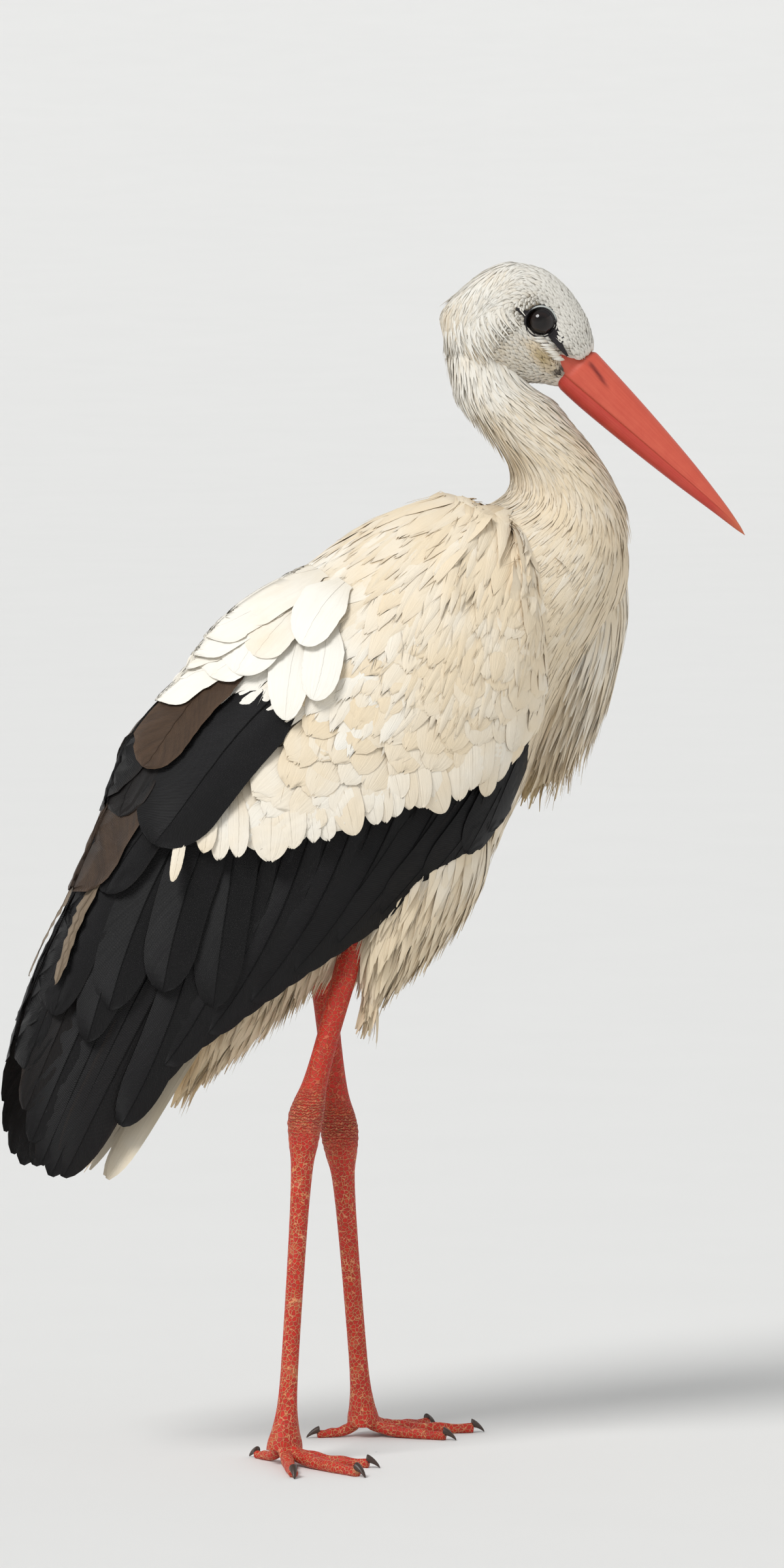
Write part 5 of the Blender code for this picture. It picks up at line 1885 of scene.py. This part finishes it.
class STORK_OT_legs(bpy.types.Operator):
    """Makes each bare leg in one scaly skin down to its toes, and the claws"""

    bl_idname = "stork.legs"
    bl_label = "Legs and claws"

    def execute(self, context):
        scales = leg_finish()
        horn = claw_finish()
        for side, label in SIDE_NAMES.items():
            forms = [loft_batch(self.leg(side))]
            claws = []
            for name, spread, length, radius in TOES:
                toe, claw = self.toe(side, spread, length, radius)
                forms.append(loft_batch(toe))
                claws.append((name, claw))
            mesh = fused("leg_skin_" + label, forms, voxel=0.0010, smooth=3)
            nodes = [part + "_" + label for part in ("shank", "ankle", "tarsus")]
            nodes += [f"toe_{name}_{label}" for name, *_ in TOES]
            obj = piece("leg_skin_" + label, mesh, scales, nodes)
            self.mark(obj.data, side)
            claw_mesh = build_mesh("claws_" + label, [loft_batch(claw) for _, claw in claws])
            piece("claws_" + label, claw_mesh, horn, [f"claw_{name}_{label}" for name, _ in claws])
        return {"FINISHED"}

    def leg(self, side, count=170, sides=36):
        """Ovals down the shank and the tarsus, with folds across the front of the ankle."""
        shank_top, ankle, foot, heading = LEGS[side]
        shank_top, ankle, foot = (np.array(p) for p in (shank_top, ankle, foot))
        rows = smooth_rows(LEG_STATIONS, count)
        share = rows[:, 0, None]
        path = np.where(share < 1, shank_top + (ankle - shank_top) * share, ankle + (foot - ankle) * (share - 1))
        way = unit(np.gradient(path, axis=0))
        fore = np.array([math.cos(math.radians(heading)), math.sin(math.radians(heading)), 0.0])
        sideways = unit(np.cross(way, fore))
        depth = np.cross(sideways, way)
        angle = circle(sides)[..., None]
        near_ankle = bell(share, 1.0, 0.07)[:, None]
        folds = 1 + 0.035 * near_ankle * np.sin(share[:, None] * 260 + 2.5 * np.sin(angle))
        rings = path[:, None] + folds * (
            depth[:, None] * rows[:, 1, None, None] * np.cos(angle)
            + sideways[:, None] * rows[:, 2, None, None] * np.sin(angle)
        )
        rings[..., 2] = np.maximum(rings[..., 2], 0.0)
        return rings

    def toe(self, side, spread, length, radius, count=60, sides=24):
        """A toe whose pads swell and narrow along it, and its claw, both resting on the floor."""
        foot, heading = np.array(LEGS[side][2]), LEGS[side][3]
        angle = math.radians(heading - side * spread)
        way = np.array([math.cos(angle), math.sin(angle), 0.0])
        beside = np.array([-way[1], way[0], 0.0])
        up = np.array([0.0, 0.0, 1.0])
        root = np.array([foot[0], foot[1], 0.0]) + way * TOE_ROOT
        turn = circle(sides)[..., None]
        along = np.linspace(0, 1, count)
        thick = radius * (1 - (1 - TOE_TAPER) * along) * (1 + 0.07 * np.cos(along * 6 * math.pi))
        thick = thick * (1 + 0.02 * np.sin(along * length / 0.0024 * TAU))
        middles = root + way * (along * length)[:, None]
        middles[:, 2] = thick * 0.85 + 0.006 * (1 - along) ** 4
        toe = middles[:, None] + thick[:, None, None] * (up * np.cos(turn) + beside * np.sin(turn))
        toe[..., 2] = np.maximum(toe[..., 2], 0.0)
        along = np.linspace(0, 1, 20)
        thick = radius * TOE_TAPER * 0.72 * (1 - along) ** 0.7 + 0.0006
        middles = root + way * (length - 0.001 + along * CLAW_LENGTH)[:, None]
        middles[:, 2] = radius * TOE_TAPER * 1.05 * (1 - along**2) + thick * 0.95 + 0.0002
        claw = middles[:, None] + thick[:, None, None] * (up * np.cos(turn) + beside * np.sin(turn))
        claw[..., 2] = np.maximum(claw[..., 2], 0.0003)
        return toe, claw

    def mark(self, mesh, side):
        """Writes how pale the scales are, more on the tarsus, and how near the ankle's folds are."""
        points = np.empty(len(mesh.vertices) * 3, np.float32)
        mesh.vertices.foreach_get("co", points)
        z = points.reshape(-1, 3)[:, 2]
        ankle = LEGS[side][1][2]
        pale = 0.20 + 0.70 * step(ankle + 0.01, ankle - 0.03, z)
        write_numbers(mesh, "warm", pale)
        write_numbers(mesh, "wear", bell(z, ankle + 0.006, 0.015))


class STORK_OT_stage(bpy.types.Operator):
    """Sets the plain floor, the soft studio light and the camera"""

    bl_idname = "stork.stage"
    bl_label = "Stage"

    # The camera stands this far round to the right of the side view, and this far up. It faces a
    # point this far to the right of the bird's design origin and above it.
    AROUND, UP = math.radians(-18), math.radians(4.5)
    FACES_RIGHT, FACES_UP = 0.0138, 0.470
    # How much height the camera sees at the bird, and its sensor's size in millimetres.
    VIEW_HEIGHT, SENSOR = 1.1009, 36.0
    # The light stands this far to the left of the bird, towards the camera, and over it.
    LIGHT_LEFT, LIGHT_BEFORE, LIGHT_OVER, LIGHT_WIDTH = 1.4, 1.7, 2.5, math.radians(24)
    # The floor is flat this far out, then bends up by distance^2 / FLOOR_BEND to its rim.
    FLOOR_FLAT, FLOOR_BEND, FLOOR_RIM = 12.0, 150.0, 120.0
    SKY = (0.86, 0.90, 0.94, 1.0)

    def execute(self, context):
        look = context.scene.stork_stage
        scene = context.scene
        rows, sides = 60, 96
        turn = circle(sides)
        reach = np.linspace(0.0, 1.0, rows)[:, None] ** 1.5 * self.FLOOR_RIM + 0.001
        rise = np.maximum(reach - self.FLOOR_FLAT, 0.0) ** 2 / self.FLOOR_BEND
        rings = np.stack([reach * np.cos(turn), reach * np.sin(turn), rise + 0 * turn], axis=-1)
        mesh = bpy.data.meshes.new("floor")
        mesh.from_pydata(rings.reshape(-1, 3).tolist(), [], grid_faces(rows, sides, wrap=True).tolist())
        floor = bpy.data.objects.new("floor", mesh)
        scene.collection.objects.link(floor)
        shader = Shader("floor_matte", 0.9)
        grain = shader.noise(shader.place(), 6.0, 3.0)
        colour = shader.mix(grain, look.floor, times(look.floor, 0.97))
        mesh.materials.append(shader.finish(colour=colour))
        world = bpy.data.worlds.new("studio")
        world.use_nodes = True
        background = world.node_tree.nodes["Background"]
        background.inputs["Color"].default_value = self.SKY
        background.inputs["Strength"].default_value = look.fill
        scene.world = world
        right = Vector((math.cos(self.AROUND), math.sin(self.AROUND), 0.0))
        ahead = Vector((-math.sin(self.AROUND), math.cos(self.AROUND), 0.0))
        middle = Vector(OFFSET) + right * self.FACES_RIGHT + Vector((0.0, 0.0, self.FACES_UP))
        light = middle - right * self.LIGHT_LEFT - ahead * self.LIGHT_BEFORE + Vector((0, 0, self.LIGHT_OVER))
        self.sun(light, middle, look.key)
        data = bpy.data.cameras.new("camera")
        data.sensor_fit, data.sensor_height, data.sensor_width = "VERTICAL", self.SENSOR, self.SENSOR
        data.lens = self.SENSOR * look.distance / self.VIEW_HEIGHT
        data.clip_start, data.clip_end = 0.1, 5000.0
        camera = bpy.data.objects.new("camera", data)
        scene.collection.objects.link(camera)
        height = Vector((0, 0, math.sin(self.UP) * look.distance))
        place = middle - ahead * math.cos(self.UP) * look.distance + height
        camera.matrix_world = self.facing(place, middle)
        scene.camera = camera
        scene.view_settings.view_transform = "Standard"
        return {"FINISHED"}

    def sun(self, place, target, strength):
        """A broad far light that faces the target."""
        data = bpy.data.lights.new("key", "SUN")
        data.energy, data.angle = strength, self.LIGHT_WIDTH
        obj = bpy.data.objects.new("key", data)
        bpy.context.scene.collection.objects.link(obj)
        obj.matrix_world = self.facing(place, target)

    def facing(self, place, target):
        """The transform of a camera or light at a place that faces the target."""
        turn = (target - place).to_track_quat("-Z", "Y").to_matrix().to_4x4()
        return Matrix.Translation(place) @ turn


OPERATORS = (
    STORK_OT_stage,
    STORK_OT_skin,
    STORK_OT_head_feathers,
    STORK_OT_neck_feathers,
    STORK_OT_breast_plumes,
    STORK_OT_mantle_feathers,
    STORK_OT_wing_coverts,
    STORK_OT_belly_feathers,
    STORK_OT_flight_feathers,
    STORK_OT_tail_feathers,
    STORK_OT_bill,
    STORK_OT_eyes,
    STORK_OT_legs,
)


class STORK_PT_panel(bpy.types.Panel):
    """Lists the settings and one button for each group of pieces"""

    bl_idname = "STORK_PT_panel"
    bl_label = "White stork"
    bl_space_type = "VIEW_3D"
    bl_region_type = "UI"
    bl_category = "Stork"

    def draw(self, context):
        for group in ("stork_plumage", "stork_bare", "stork_stage"):
            settings = getattr(context.scene, group)
            box = self.layout.box()
            for name in settings.bl_rna.properties.keys():
                if name not in ("rna_type", "name"):
                    box.prop(settings, name)
        for operator in OPERATORS:
            self.layout.operator(operator.bl_idname)


GROUPS = (StorkPlumage, StorkBare, StorkStage)
CLASSES = (*GROUPS, *OPERATORS, STORK_PT_panel)


def register():
    for cls in CLASSES:
        bpy.utils.register_class(cls)
    bpy.types.Scene.stork_plumage = bpy.props.PointerProperty(type=StorkPlumage)
    bpy.types.Scene.stork_bare = bpy.props.PointerProperty(type=StorkBare)
    bpy.types.Scene.stork_stage = bpy.props.PointerProperty(type=StorkStage)


def unregister():
    del bpy.types.Scene.stork_plumage, bpy.types.Scene.stork_bare, bpy.types.Scene.stork_stage
    for cls in reversed(CLASSES):
        bpy.utils.unregister_class(cls)


def main():
    """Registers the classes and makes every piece."""
    register()
    for operator in OPERATORS:
        group, name = operator.bl_idname.split(".")
        getattr(getattr(bpy.ops, group), name)()
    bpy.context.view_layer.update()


if __name__ == "__main__":
    main()
